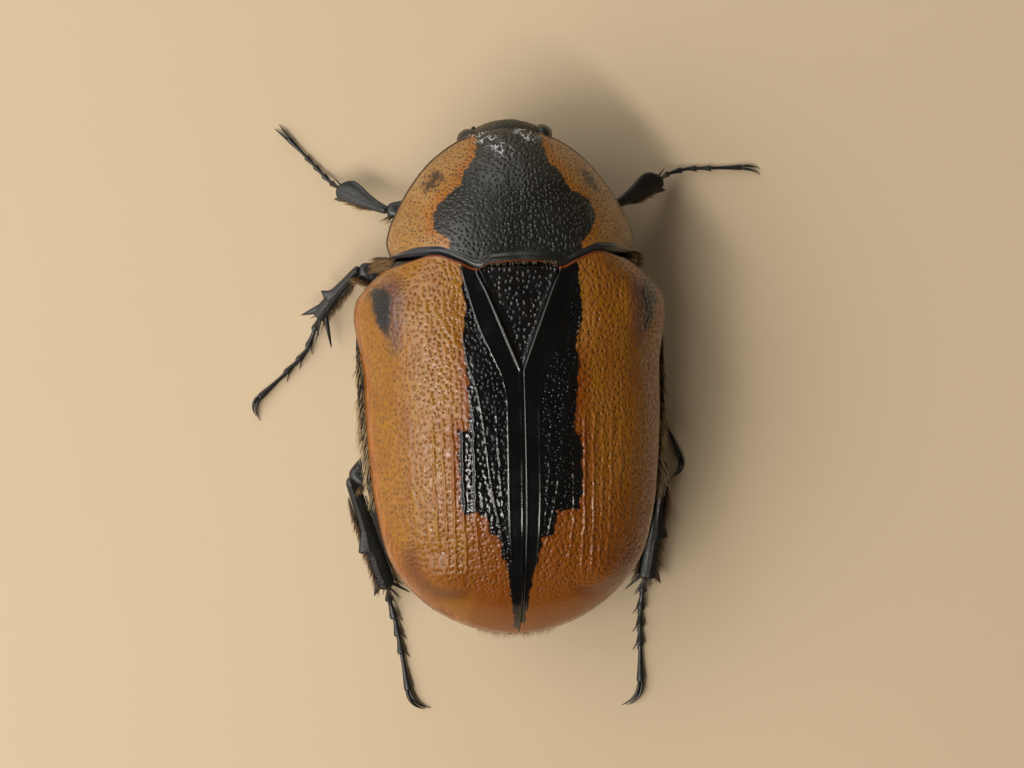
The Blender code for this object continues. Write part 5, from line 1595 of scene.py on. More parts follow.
@dataclass
class Head:
    """The bent-down head: punctured front, clypeus with its raised rim, eyes, feelers and mouth parts."""

    body: BodyFrame
    sides: int = 200
    rows: int = 150
    exponent: float = 2.6
    notch: float = 0.4
    eye_centre: Place = (1.64, -10.97, 4.74)
    turn: float = 0.045
    eye_radii: Place = (0.5, 0.52, 0.64)
    half_width: Curve = Curve((
        (2.66, 1.0), (2.72, 1.14), (2.9, 1.34), (3.25, 1.54), (3.8, 1.66), (4.4, 1.74), (4.9, 1.76),
        (5.25, 1.66), (5.48, 1.4), (5.58, 1.0), (5.62, 0.3)))
    half_depth: Curve = Curve((
        (2.66, 0.16), (2.72, 0.22), (2.9, 0.32), (3.25, 0.42), (3.8, 0.6), (4.4, 0.72), (5.0, 0.74),
        (5.42, 0.6), (5.55, 0.4), (5.62, 0.12)))
    centre: Curve = Curve(((2.66, -11.41), (2.9, -11.36), (3.25, -11.27), (3.8, -11.12), (4.4, -11.04),
                           (5.62, -11.02)))
    relief: Relief = Relief(0.16, 0.4, 0.02, 0.02, 0.2, 4.0)

    def make(self, skin: Skin, name: str, finish: Finish | None = None) -> Piece:
        """Build one of the head's pieces, with the head turned a little to its right."""
        skin.points = [part + self.turn * part[:, :1] * np.array([0.0, 1.0, 0.0]) for part in skin.points]
        return skin.build(name, self.body, finish)

    def skull(self) -> Skin:
        """The head capsule with its rim, ridge and the hollows for the eyes."""
        z = np.interp(np.linspace(0.0, 1.0, self.rows), [0.0, 0.06, 0.9, 1.0], [2.66, 2.72, 5.42, 5.62])[:,
                                                                                                         None]
        angle = full_turn(self.sides)
        across = signed_power(np.cos(angle), 2.0 / self.exponent)
        along = signed_power(np.sin(angle), 2.0 / self.exponent)
        half = self.half_width(z)
        x = half * across
        rounded = 1.0 - 0.26 * smooth_step(0.15, 0.95, np.abs(across))
        y = self.centre(z) + self.half_depth(z) * (along * rounded)
        lift = self.notch * np.clip(1.0 - np.abs(x) / 0.6, 0.0, 1.0) * np.clip((3.3 - z) / 0.6, 0.0, 1.0)
        side_rim = hump(np.abs(x) - 0.95 * half, 0.16) * (1.0 - smooth_step(2.9, 3.6, z))
        rim = hump(z - 2.84 - lift, 0.16) + side_rim
        hollow = hump(np.hypot((np.abs(x) - 0.75) / 0.6, (z - 3.6) / 0.75), 1.0)
        ridge = hump(x, 0.26) * smooth_step(3.4, 3.8, z) * (1.0 - smooth_step(3.9, 4.5, z))
        cross_line = hump(z - 4.15 - 0.12 * np.cos(2.2 * x), 0.1)
        relief = 0.12 * rim - 0.1 * hollow + 0.09 * ridge - 0.04 * cross_line + 0.012 * wander(x, z, 0.7, 31)
        y = y - smooth_step(-0.1, 0.5, -along) * relief
        skin = Skin()
        skin.tube(self.press_sockets(points_from(x, y, z + lift)), {
            "place": points_from(x + 15.0, z + 0.8 * (y + 11.0) + 15.0),
            "pitted": 1.0 - 0.8 * np.clip(rim + ridge, 0.0, 1.0), "wrinkled": 1.0})
        return skin

    def press_sockets(self, points: np.ndarray) -> np.ndarray:
        """Press the skull inward round each eye, so that the eye sits in a hollow with a slim gap."""
        pressed = points.copy()
        for side in Side:
            offset = (pressed - self.eye_centre * side.mirror) / (np.array(self.eye_radii) * 1.06)
            distance = np.linalg.norm(offset, axis=-1)
            inward = side.value * 0.3 * (1.0 - smooth_step(0.95, 1.2, distance))
            pressed[..., 0] -= np.where(distance < 1.2, inward, 0.0)
        return pressed

    def canthus(self, side: Side) -> Skin:
        """The narrow ridge that reaches back from the face over the eye."""
        rings = side.mirror * stalk(
            [(1.3, -11.22, 4.5), (1.66, -11.33, 4.66), (1.94, -11.26, 4.8), (2.12, -11.02, 4.88)],
            ((0.0, 0.02), (0.15, 0.14), (0.6, 0.15), (0.9, 0.09), (1.0, 0.02)), 30, 24, 0.7, 1.1)
        skin = Skin()
        skin.tube(rings, {"place": points_from(np.arange(24) * 0.03, rings[..., 1]), "pitted": 0.3})
        return skin

    def eye(self, side: Side) -> Skin:
        """One bulging eye."""
        polar = np.linspace(0.02, np.pi - 0.02, 46)[:, None]
        turn = full_turn(70)
        shell = points_from(np.sin(polar) * np.cos(turn), np.sin(polar) * np.sin(turn), np.cos(polar))
        skin = Skin()
        skin.tube((self.eye_centre + shell * self.eye_radii) * side.mirror, {
            "place": points_from(0.5 * turn, 0.6 * polar)})
        return skin

    def feeler(self, side: Side) -> tuple[Skin, Skin]:
        """The feeler, folded back: its links, and the club of three leaves."""
        links = Skin()
        links.tube(side.mirror * stalk(
            [(1.2, -10.95, 3.4), (1.3, -10.75, 3.35), (1.75, -10.45, 3.15), (2.15, -10.2, 3.1)],
            ((0.0, 0.1), (0.15, 0.19), (0.5, 0.23), (0.85, 0.27), (1.0, 0.1)), 36, 26, deep=0.85))
        beads = smooth_path([(2.1, -10.22, 3.1), (2.35, -10.0, 3.06), (2.66, -9.7, 3.0)], 6)
        for index, (here, there) in enumerate(zip(beads[:-1], beads[1:])):
            line = here + (there - here) * np.linspace(-0.05, 1.05, 14)[:, None]
            radius = (0.15 + 0.012 * index) * np.sin(np.linspace(0.25, np.pi - 0.45, 14)) ** 0.5
            links.tube(sweep(line, radius, radius, 22) * side.mirror)
        club = Skin()
        for place in (-1, 0, 1):
            club.tube(side.mirror
                      * stalk([(2.58, -9.78, 3.0), (2.9 + 0.1 * place, -9.45, 2.97 + 0.17 * place),
                               (3.25 + 0.1 * place, -9.15, 2.93 + 0.24 * place),
                               (3.6 + 0.06 * place, -8.88, 2.9 + 0.26 * place)],
                              ((0.0, 0.1), (0.15, 0.19), (0.5, 0.26), (0.85, 0.22), (1.0, 0.04)), 34, 26,
                              deep=0.36))
        return links, club

    def palp(self, side: Side) -> Skin:
        """A short feeler of the mouth: three rounded links."""
        skin = Skin()
        skin.tube(side.mirror * stalk(
            [(0.78, -10.92, 2.58), (0.86, -10.95, 2.3), (0.9, -10.95, 2.12), (0.92, -10.97, 1.72)],
            ((0.0, 0.08), (0.12, 0.2), (0.28, 0.13), (0.42, 0.21), (0.55, 0.13), (0.75, 0.22), (0.95, 0.13),
             (1.0, 0.03)), 46, 24, up=(1.0, 0.0, 0.0)))
        return skin

    def mouth(self) -> Skin:
        """The chin plate and the jaws' outer lobes behind the clypeus."""
        skin = Skin()
        skin.tube(stalk([(0.0, -10.55, 3.2), (0.0, -10.7, 2.95), (0.0, -10.95, 2.72), (0.0, -11.15, 2.6)],
                        ((0.0, 0.5), (0.4, 0.72), (0.8, 0.6), (1.0, 0.25)), 30, 40, deep=0.3, exponent=2.6))
        for side in (-1.0, 1.0):
            skin.tube(stalk([(side * 0.55, -10.9, 3.0), (side * 0.62, -11.05, 2.72),
                             (side * 0.5, -11.2, 2.48)], ((0.0, 0.16), (0.5, 0.2), (1.0, 0.03)), 24, 22,
                            deep=0.8, up=(1.0, 0.0, 0.0)))
        return skin


@dataclass(frozen=True)
class LegRoute:
    """Where one leg's joints lie, as the solids have them: hip, knee, ankle, foot and claw tip."""

    kind: LegKind
    side: Side
    hip: Place
    knee: Place
    ankle: Place
    foot: tuple[Place, ...]
    claw_tip: Place

    @property
    def name(self) -> str:
        """The leg's name in the node names."""
        return f"{self.kind.value}_{self.side.word}"


LEG_ROUTES = (LegRoute(LegKind.FRONT, Side.LEFT, (1.95, -7.75, 2.0), (5.2, -8.0, 2.4), (7.3, -9.15, 1.0),
                       ((7.65, -9.5, 0.62), (8.4, -10.35, 0.3), (9.45, -11.5, 0.26)), (9.95, -12.05, 0.08)),
              LegRoute(LegKind.FRONT, Side.RIGHT, (-1.95, -7.75, 2.0), (-5.2, -8.0, 2.4), (-7.6, -9.25, 1.0),
                       ((-8.05, -9.5, 0.62), (-9.2, -9.72, 0.3), (-11.5, -9.72, 0.26)),
                       (-12.35, -9.5, 0.08)),
              LegRoute(LegKind.MID, Side.LEFT, (2.45, -4.35, 1.5), (6.55, -5.35, 2.55), (8.33, -3.2, 1.0),
                       ((8.47, -2.8, 0.62), (8.86, -1.85, 0.3), (9.65, -0.98, 0.26), (11.1, 0.32, 0.26)),
                       (11.15, 1.25, 0.08)),
              LegRoute(LegKind.MID, Side.RIGHT, (-2.45, -4.2, 1.5), (-6.1, -3.0, 2.5), (-6.3, -0.4, 1.05),
                       ((-6.5, 0.1, 0.66), (-6.95, 1.05, 0.3), (-7.6, 2.1, 0.26), (-8.2, 3.6, 0.26)),
                       (-7.8, 4.55, 0.08)),
              LegRoute(LegKind.HIND, Side.LEFT, (2.7, 0.9, 1.45), (7.15, 4.15, 2.7), (5.5, 9.15, 1.05),
                       ((5.42, 9.7, 0.66), (5.15, 10.8, 0.3), (4.9, 12.3, 0.26), (4.65, 13.9, 0.26)),
                       (3.75, 14.75, 0.08)),
              LegRoute(LegKind.HIND, Side.RIGHT, (-2.7, 0.9, 1.45), (-7.0, 3.85, 2.7), (-6.32, 9.15, 1.05),
                       ((-6.25, 9.7, 0.66), (-6.13, 10.98, 0.3), (-6.1, 12.5, 0.26), (-6.08, 13.9, 0.26)),
                       (-5.3, 14.95, 0.08)),)


@dataclass(frozen=True)
class Spike:
    """A tooth or spur: root and tip as share along the shin and distance outward, and its radius."""

    root: tuple[float, float]
    tip: tuple[float, float]
    radius: float
    flatness: float = 0.5
    power: float = 0.9


@dataclass(frozen=True)
class LegBuild:
    """How stout the pieces of one pair of legs are, in millimetres."""

    thigh: float
    hip: float
    hip_flatness: float
    outer: Curve
    inner: Curve
    depth: float
    spikes: tuple[Spike, ...]
    foot_radii: tuple[float, float]
    foot_spine: float
    claw: float
    lobe: float = 0.0


LEG_BUILDS = {LegKind.FRONT: LegBuild(0.62, 0.56, 0.8,
                                      Curve(((0.0, 0.08), (0.03, 0.18), (0.2, 0.23), (0.5, 0.32), (0.8, 0.4),
                                             (0.93, 0.38), (0.98, 0.24), (1.0, 0.06))),
                                      Curve(((0.0, 0.08), (0.03, 0.18), (0.2, 0.25), (0.45, 0.42),
                                             (0.65, 0.59), (0.76, 0.63), (0.86, 0.54), (0.95, 0.3),
                                             (1.0, 0.06))), 0.15,
                                      (Spike((0.72, 0.2), (0.96, 0.56), 0.24, 0.4),
                                       Spike((0.9, -0.1), (1.14, -0.34), 0.05, 1.0, 0.6)), (0.105, 0.142),
                                      0.13, 0.075),
              LegKind.MID: LegBuild(0.66, 0.56, 0.8,
                                    Curve(((0.0, 0.08), (0.02, 0.17), (0.08, 0.21), (0.3, 0.25), (0.5, 0.33),
                                           (0.57, 0.42), (0.64, 0.66), (0.665, 0.52), (0.7, 0.36),
                                           (0.85, 0.38), (0.97, 0.38), (1.0, 0.15))),
                                    Curve(((0.0, 0.08), (0.02, 0.17), (0.08, 0.2), (0.5, 0.2), (0.85, 0.26),
                                           (0.97, 0.28), (1.0, 0.12))), 0.19,
                                    (Spike((0.82, 0.16), (1.13, 0.74), 0.24),
                                     Spike((0.88, -0.12), (1.24, -1.3), 0.12, 0.9, 0.6),
                                     Spike((0.93, 0.0), (1.3, -0.55), 0.06, 0.9, 0.6),
                                     Spike((0.95, 0.16), (1.08, 0.3), 0.035, 1.0)), (0.12, 0.172), 0.4, 0.1),
              LegKind.HIND: LegBuild(0.78, 0.72, 0.6,
                                     Curve(((0.0, 0.08), (0.02, 0.2), (0.06, 0.27), (0.3, 0.28),
                                            (0.45, 0.34), (0.58, 0.6), (0.625, 0.69), (0.65, 0.5),
                                            (0.68, 0.38), (0.85, 0.42), (0.97, 0.42), (1.0, 0.15))),
                                     Curve(((0.0, 0.08), (0.02, 0.2), (0.06, 0.3), (0.3, 0.38), (0.6, 0.4),
                                            (0.85, 0.38), (0.97, 0.34), (1.0, 0.12))), 0.21,
                                     (Spike((0.87, 0.14), (1.02, 0.72), 0.28),
                                      Spike((0.94, -0.14), (1.1, -0.9), 0.09, 0.9, 0.6),
                                      Spike((0.97, 0.0), (1.12, -0.4), 0.06, 0.9, 0.6),
                                      Spike((0.975, 0.16), (1.04, 0.32), 0.035, 1.0)), (0.14, 0.212), 0.4,
                                     0.12, 0.9),}


@dataclass
class Leg:
    """One leg: hip piece, thigh, toothed and spurred shin, and a foot of five links with two claws."""

    route: LegRoute
    body: BodyFrame
    sides: int = 40
    foot_lowering: float = 0.7
    spine_radius: float = 0.028
    link_ends: tuple[float, ...] = (0.0, 0.17, 0.34, 0.5, 0.66, 1.0)
    claw_floor: float = 0.03
    up: Place = (0.0, 0.0, 1.0)

    def __post_init__(self) -> None:
        """Read the route as vectors."""
        self.sizes = LEG_BUILDS[self.route.kind]
        self.hip = np.array(self.route.hip)
        self.knee = np.array(self.route.knee)
        self.ankle = np.array(self.route.ankle)
        self.run = unit(self.ankle - self.knee)
        outward = unit(np.cross(self.run, self.up))
        self.outward = outward if outward[0] * self.route.side.value >= 0.0 else -outward
        lowered = [(x, y, z * self.foot_lowering) for x, y, z in self.route.foot]
        self.foot_line = smooth_path([tuple(self.ankle - 0.05 * self.run)] + lowered, 400)

    def add_limb(self, skin: Skin, rings: np.ndarray, pitted: float = 0.5) -> None:
        """Add a tube of rings with its surface places."""
        place = points_from(lengths_across(rings) + 3.0 * skin.count / 1000.0,
                            path_lengths(rings[:, 0])[:, None])
        skin.tube(rings, {"place": place, "pitted": pitted})

    def add_spine(self, skin: Skin, base: np.ndarray, tip: np.ndarray, radius: float, flatness: float = 0.85,
                  power: float = 0.5, bend: float = 0.05, sides: int = 10) -> None:
        """Add a tapered spine, bowed a little, from a base to a tip.

        Args:
            skin: The skin to add to.
            base: Where the spine starts.
            tip: Where it ends.
            radius: Its level radius at the base.
            flatness: Its upright radius as a share of that.
            power: 1 for a straight taper, less for a fuller one.
            bend: How far it bows up, as a share of its length.
            sides: Points in each ring.
        """
        share = np.linspace(0.0, 1.0, 11)
        path = base + (tip - base) * share[:, None]
        path[:, 2] += bend * np.linalg.norm(tip - base) * np.sin(np.pi * share)
        taper = radius * np.clip(1.0 - share, 0.0, 1.0) ** power + 0.006
        self.add_limb(skin, sweep(path, taper, flatness * taper, sides), 0.0)

    def at_shin(self, along: np.ndarray | float, out: float = 0.0) -> np.ndarray:
        """A place beside the shin: share of the way from knee to ankle and millimetres outward."""
        return self.knee + (self.ankle - self.knee) * along + out * self.outward

    def hindward(self) -> np.ndarray:
        """The level direction across the thigh that points to the beetle's rear."""
        across = unit(np.cross(self.knee - self.hip, self.up))
        return across if across[1] >= 0.0 else -across

    def hip_piece(self) -> Skin:
        """The hip piece, lying between the underside and the thigh."""
        end = self.hip + 0.12 * unit(self.knee - self.hip)
        root = np.array([0.2 * self.hip[0], self.hip[1] - 0.1, self.hip[2] + 0.12])
        share = np.linspace(0.0, 1.0, 30)
        size = self.sizes.hip * Curve(((0.0, 0.1), (0.06, 0.5), (0.3, 0.95), (0.7, 1.0), (0.93, 0.7),
                                       (1.0, 0.15)))(share)
        path = root + (end - root) * share[:, None]
        skin = Skin()
        self.add_limb(skin, sweep(path, size, self.sizes.hip_flatness * size, self.sides, exponent=2.3), 0.8)
        return skin

    def thigh(self) -> Skin:
        """The thigh, thickest a third of the way out."""
        share = np.linspace(0.0, 1.0, 60)
        size = self.sizes.thigh * Curve((
            (0.0, 0.06), (0.015, 0.3), (0.06, 0.55), (0.15, 0.8), (0.38, 1.0), (0.65, 0.92), (0.86, 0.68),
            (0.96, 0.5), (0.99, 0.3), (1.0, 0.06)))(share)
        path = self.hip + (self.knee - self.hip) * share[:, None]
        path[:, 2] += 0.1 * np.sin(np.pi * share)
        rings = sweep(path, size, 0.72 * size, self.sides, exponent=2.2)
        groove = 1.0 - 0.12 * hump(full_turn(self.sides) - 1.5 * np.pi, 0.5)
        from_middle = (rings - path[:, None, :]) * groove[None, :, None]
        hindward = self.hindward()
        lobe = self.sizes.lobe * Curve(((0.0, 0.0), (0.45, 0.0), (0.75, 0.8), (0.88, 1.0), (0.96, 0.6),
                                        (1.0, 0.0)))(share)
        hind_side = np.clip((from_middle @ hindward) / self.sizes.thigh, 0.0, 1.0)
        from_middle = from_middle + (lobe[:, None] * hind_side)[..., None] * hindward
        skin = Skin()
        self.add_limb(skin, path[:, None, :] + from_middle, 0.9)
        return skin

    def shin(self) -> Skin:
        """The shin: a flat blade with a toothed outer edge, end teeth and spurs."""
        share = np.linspace(0.0, 1.0, 150)[:, None]
        tucked = share - 0.035 * (1.0 - share)
        angle = full_turn(self.sides)[None, :]
        across = signed_power(np.cos(angle), 0.95)
        reach = np.where(across >= 0.0, self.sizes.outer(share), self.sizes.inner(share)) * across
        closing = np.sqrt(np.clip(np.minimum(share / 0.05, (1.0 - share) / 0.03), 0.06, 1.0))
        rise = self.sizes.depth * closing * signed_power(np.sin(angle), 0.95)
        rise = rise * (1.0 + 0.14 * hump(across - 0.3, 0.25) * closing)
        upright = unit(np.cross(self.outward, self.run))
        middle = self.at_shin(tucked) + 0.05 * np.sin(np.pi * share) * self.outward
        skin = Skin()
        self.add_limb(skin, middle[:, None, :] + reach[..., None] * self.outward + rise[..., None] * upright,
                      0.8)
        for spike in self.sizes.spikes:
            root, tip = self.at_shin(*spike.root), self.at_shin(*spike.tip)
            tip[2] = max(tip[2], 0.08)
            self.add_spine(skin, root, tip, spike.radius, spike.flatness, spike.power, 0.02, 18)
        return skin

    def on_foot(self, share: np.ndarray | float) -> np.ndarray:
        """A place on the foot's centre line, from the ankle (0) to the base of the claws (1)."""
        marks = np.linspace(0.0, 1.0, len(self.foot_line))
        return np.stack([np.interp(share, marks, self.foot_line[:, axis]) for axis in range(3)], axis=-1)

    def foot(self) -> Skin:
        """The foot: bell-shaped links with spines on their inner ends, and two curved claws."""
        thin, thick = self.sizes.foot_radii
        bell = Curve(((0.0, 0.5), (0.03, 0.8), (0.2, 0.76), (0.6, 0.85), (0.9, 1.0), (0.97, 0.93),
                      (1.0, 0.45)))
        inner = np.array([-self.route.side.value, 0.5, 0.0])
        skin = Skin()
        share = np.linspace(0.0, 1.0, 34)
        for start, end in zip(self.link_ends[:-1], self.link_ends[1:]):
            path = self.on_foot(start + (end - start) * (1.03 * share - 0.015))
            size = (thin + (thick - thin) * smooth_step(0.1, 0.95, share)) * bell(share) * (1.0
                                                                                            - 0.15 * start)
            rings = sweep(path, size, 0.9 * size, 26)
            rings[..., 2] = np.maximum(rings[..., 2], 0.0)
            self.add_limb(skin, rings, 0.3)
            if end == 1.0:
                continue
            here, before = self.on_foot(np.array([end, end - 0.05]))
            run = unit(here - before)
            level = unit(np.cross(run, self.up))
            level = level if level @ inner >= 0.0 else -level
            for aside, length in ((0.9, 1.0), (0.35, 0.85), (-0.6, 0.4)):
                base = here - 0.08 * run + 0.7 * aside * thick * level - np.array([0.0, 0.0, 0.35 * thick])
                tip = base + self.sizes.foot_spine * length * unit(run + 0.7 * aside * level)
                tip[2] = max(tip[2] - 0.06, self.claw_floor)
                self.add_spine(skin, base, tip, self.spine_radius, 1.0, 0.6, 0.04, 8)
        self.add_claws(skin)
        return skin

    def add_claws(self, skin: Skin) -> None:
        """Add the two curved claws, side by side at the end of the foot."""
        end, before = self.on_foot(np.array([0.99, 0.9]))
        tip = np.array(self.route.claw_tip)
        run = unit(end - before)
        level = unit(np.cross(run, self.up))
        bend = end + 0.62 * np.linalg.norm(tip - end) * run + np.array([0.0, 0.0, 0.1])
        tip[2] = self.claw_floor
        share = np.linspace(0.0, 1.0, 26)[:, None]
        size = self.sizes.claw * Curve(((0.0, 0.8), (0.15, 1.0), (0.6, 0.62), (1.0, 0.06)))(share[:, 0])
        for turn in (-1.0, 1.0):
            path = (1.0 - share) ** 2 * end + 2.0 * share * (1.0 - share) * bend + share ** 2 * tip
            rings = sweep(path + turn * (0.06 + 0.08 * share) * level, 0.8 * size, size, 16)
            rings[..., 2] = np.maximum(rings[..., 2], 0.0)
            self.add_limb(skin, rings, 0.0)

    def build(self, finish: Finish) -> dict[str, Piece]:
        """Make the leg's pieces, by the name of the node that each replaces."""
        name = self.route.name
        skins = {"coxa": ("hip_piece", self.hip_piece()), "femur": ("thigh", self.thigh()),
                 "tibia": ("shin", self.shin()), "tarsus": ("foot", self.foot())}
        return {f"{node}_{name}": skin.build(f"{word}_{name}", self.body, finish)
                for node, (word, skin) in skins.items()}

    def edge_hair(self, out: float, start: float, end: float, lie_out: float) -> "HairPatch":
        """A strip of hair along one edge of the shin.

        Args:
            out: Distance of the strip from the shin's middle line, positive on the outer side.
            start: Where it starts, as a share of the shin.
            end: Where it ends.
            lie_out: How far the hair leans away from the shin's run.

        Returns:
            The strip.
        """
        along = np.linspace(start, end, 24)[:, None, None]
        rise = np.linspace(-0.6, 0.6, 4)[None, :, None] * self.sizes.depth * np.array(self.up)
        facing = math.copysign(1.0, out) * self.outward
        grid = self.knee + (self.ankle - self.knee) * along + out * self.outward + rise
        return HairPatch(grid, facing, self.run + lie_out * facing,
                         smooth_step(start - 0.1, start + 0.15, along[..., 0]))

    def thigh_hair(self) -> "HairPatch":
        """A strip of longer hair along the thigh's hind edge."""
        along = np.linspace(0.35, 0.97, 24)[:, None, None]
        across = self.hindward()
        rise = np.linspace(-0.3, 0.3, 4)[None, :, None] * self.sizes.thigh * np.array(self.up)
        out = self.sizes.thigh * (0.95 - 0.55 * along ** 3)
        grid = self.hip + (self.knee - self.hip) * along + out * across + rise
        return HairPatch(grid, across, unit(self.knee - self.hip) + 0.5 * across)


def hair_blade(name: str, radius: float, bend: float, rings: int = 6, sides: int = 3) -> Piece:
    """Make one hair of length 1 along Z, bent towards Y, for the bristle tree to copy.

    Args:
        name: The object's name.
        radius: Radius of its root as a share of its length.
        bend: How far its tip leans aside, as a share of its length.
        rings: Rings along it.
        sides: Points in each ring.

    Returns:
        The hair, with the named values that its copies carry.
    """
    share = np.linspace(0.0, 1.0, rings)[:, None]
    angle = full_turn(sides)
    taper = radius * (1.0 - 0.9 * share)
    points = points_from(taper * np.cos(angle), taper * np.sin(angle) + bend * share ** 2,
                         share * (1.0 - 0.3 * bend * share))
    skin = Skin()
    skin.tube(points / MM,
              {"reach": share, "patch_place": points_from(angle / (2.0 * np.pi) - 0.5, share - 0.5)})
    return skin.build(name, BodyFrame((0.0, 0.0, 0.0)))


@dataclass
class HairPatch:
    """A strip of skin that hair grows on: a grid of places, where it faces, the hair's lie and its growth."""

    grid: np.ndarray
    facing: np.ndarray
    lie: np.ndarray
    growth: np.ndarray | float = 1.0


@dataclass
class Coat:
    """Hair on one or more strips, as solid mesh: count a square millimetre, sizes in millimetres."""

    name: str
    patches: list[HairPatch]
    count: float
    length: float
    lift: float = 0.4
    spread: float = 0.25
    seed: int = 1

    def build(self, tree: Tree, blade: Piece, finish: Finish, body: BodyFrame) -> Piece:
        """Grow the hair and keep it as one plain mesh, with its roots' places as the OFBake map.

        Args:
            tree: The bristle tree.
            blade: The hair that is copied.
            finish: The hair's material.
            body: Where the millimetre places lie in the frame.

        Returns:
            The coat.
        """
        skin = Skin()
        for index, patch in enumerate(self.patches):
            rows, columns = patch.grid.shape[:2]
            down = (index + np.linspace(0.02, 0.98, rows)[:, None]) / len(self.patches)
            skin.grid(patch.grid, {
                "facing": np.broadcast_to(unit(patch.facing), patch.grid.shape),
                "lie": np.broadcast_to(unit(patch.lie), patch.grid.shape), "growth": patch.growth,
                "unwrap": points_from(np.linspace(0.02, 0.98, columns), down)})
        obj = skin.build(self.name, body)
        apply_tree(obj, tree,
                   {"Blade": blade, "Count": self.count / MM ** 2, "Length": self.length * MM,
                    "Lift": self.lift, "Spread": self.spread, "Seed": self.seed, "Material": finish})
        return obj


@dataclass
class BodyHair:
    """Where hair grows: the body's sides, chest, front corners, rear and the scutellum's base."""

    shape: BodyShape

    def flank(self, side: Side, low: float, high: float, start: float, end: float,
              growth: float = 1.0) -> HairPatch:
        """A strip of the underside's flank between two shares of its half width."""
        shape = self.shape
        y = np.linspace(start, end, 60)
        share = side.value * np.linspace(low, high, 10)
        grid = shape.below(y, shape.trunk_half_width(y), shape.margin(y) - 0.12, shape.keel(y), share)
        normals = grid_normals(grid)
        facing = np.where(normals[..., 2:] > 0.0, -normals, normals)
        tufted = growth * (0.75 + 0.35 * wander(grid[..., 0], grid[..., 1], 1.6, 41))
        fade = smooth_step(start, start + 0.6, y) * (1.0 - smooth_step(end - 0.8, end, y))
        growth = np.clip(tufted, 0.3, 1.3) * fade[:, None]
        return HairPatch(grid, facing, np.array([0.22 * side.value, 0.9, -0.1]), growth)

    def front_corner(self, side: Side) -> HairPatch:
        """The small tuft where the pronotum's front corner meets the head."""
        across = np.linspace(1.5, 1.85, 6)
        down = np.linspace(0.0, 0.2, 3)[:, None]
        rise = 0.25 * (across - 1.55)
        grid = points_from(side.value * across, -10.9 + rise, 6.1 - 2.0 * rise - down)
        growth = 0.8 if side is Side.LEFT else 0.4
        return HairPatch(grid, np.array([0.3 * side.value, -1.0, 0.4]),
                         np.array([0.1 * side.value, -0.6, 1.1]), growth)

    def shoulder(self, side: Side) -> HairPatch:
        """The tuft on the shoulder wedge, over the mid leg's thigh."""
        down = np.linspace(0.0, 1.0, 12)[:, None]
        across = np.linspace(-0.42, 0.16, 6)
        grid = points_from(side.value * (4.85 + 0.75 * down + 0.16), -5.3 - 0.1 * down + across,
                           5.9 - 1.7 * down)
        return HairPatch(grid, np.array([0.8 * side.value, -0.1, 0.6]),
                         np.array([0.8 * side.value, 0.3, -0.15]), 0.85)

    def ledge(self, side: Side) -> HairPatch:
        """The strip of the body's side that shows from above beside the wing case."""
        shape = self.shape
        y = np.linspace(-1.8, 5.2, 50)[:, None]
        grid = points_from(side.value * (shape.trunk_half_width(y) - np.linspace(0.02, 0.4, 5)), y,
                           shape.margin(y) - 0.11)
        growth = (0.5 + 0.4 * hump((y - 2.6) / 1.6, 1.0)) * (1.0 - 0.3 * wander(0.0 * y, y, 0.7, 9))
        return HairPatch(grid, np.array([0.5 * side.value, 0.0, 1.0]),
                         np.array([0.25 * side.value, 1.0, 0.05]), growth)

    def plate_base(self) -> HairPatch:
        """The short fringe between the pronotum and the scutellum."""
        across = np.linspace(-1.65, 1.65, 40)
        along = np.linspace(-5.36, -5.26, 3)[:, None]
        grid = points_from(across, along, self.shape.back(across, along) - 0.05)
        return HairPatch(grid, np.array([0.0, 0.2, 1.0]), np.array([0.0, 1.0, 0.25]))

    def rear(self) -> HairPatch:
        """The fringe along the upper edge of the end plate."""
        across = np.linspace(-1.75, 1.75, 30)
        down = np.linspace(0.05, 0.45, 4)[:, None]
        grid = points_from(across, 11.0 - 0.083 * across ** 2 - 0.05 * down, 4.25 - down)
        return HairPatch(grid, np.array([0.0, 1.0, 0.1]), np.array([0.0, 1.0, -0.25]))


@dataclass(frozen=True)
class Lamp:
    """One soft area light that faces the beetle: place and size in millimetres, and power."""

    name: str
    spot: Place
    width: float
    height: float
    energy: float
    colour: Colour = (1.0, 1.0, 1.0)


LAMPS = (
    Lamp("window", (174.0, 5.0, 165.0), 420.0, 150.0, 0.535, (1.0, 0.98, 0.94)),
    Lamp("low_window", (220.0, 0.0, 62.0), 350.0, 80.0, 0.10, (1.0, 0.97, 0.92)),
    Lamp("glint", (98.0, 84.0, 204.0), 165.0, 22.0, 0.22, (1.0, 0.97, 0.90)),
    Lamp("front", (40.0, -230.0, 95.0), 130.0, 110.0, 0.10, (0.96, 0.98, 1.0)),
    Lamp("fill", (-260.0, 30.0, 170.0), 300.0, 240.0, 0.012, (1.0, 0.75, 0.45)),
)


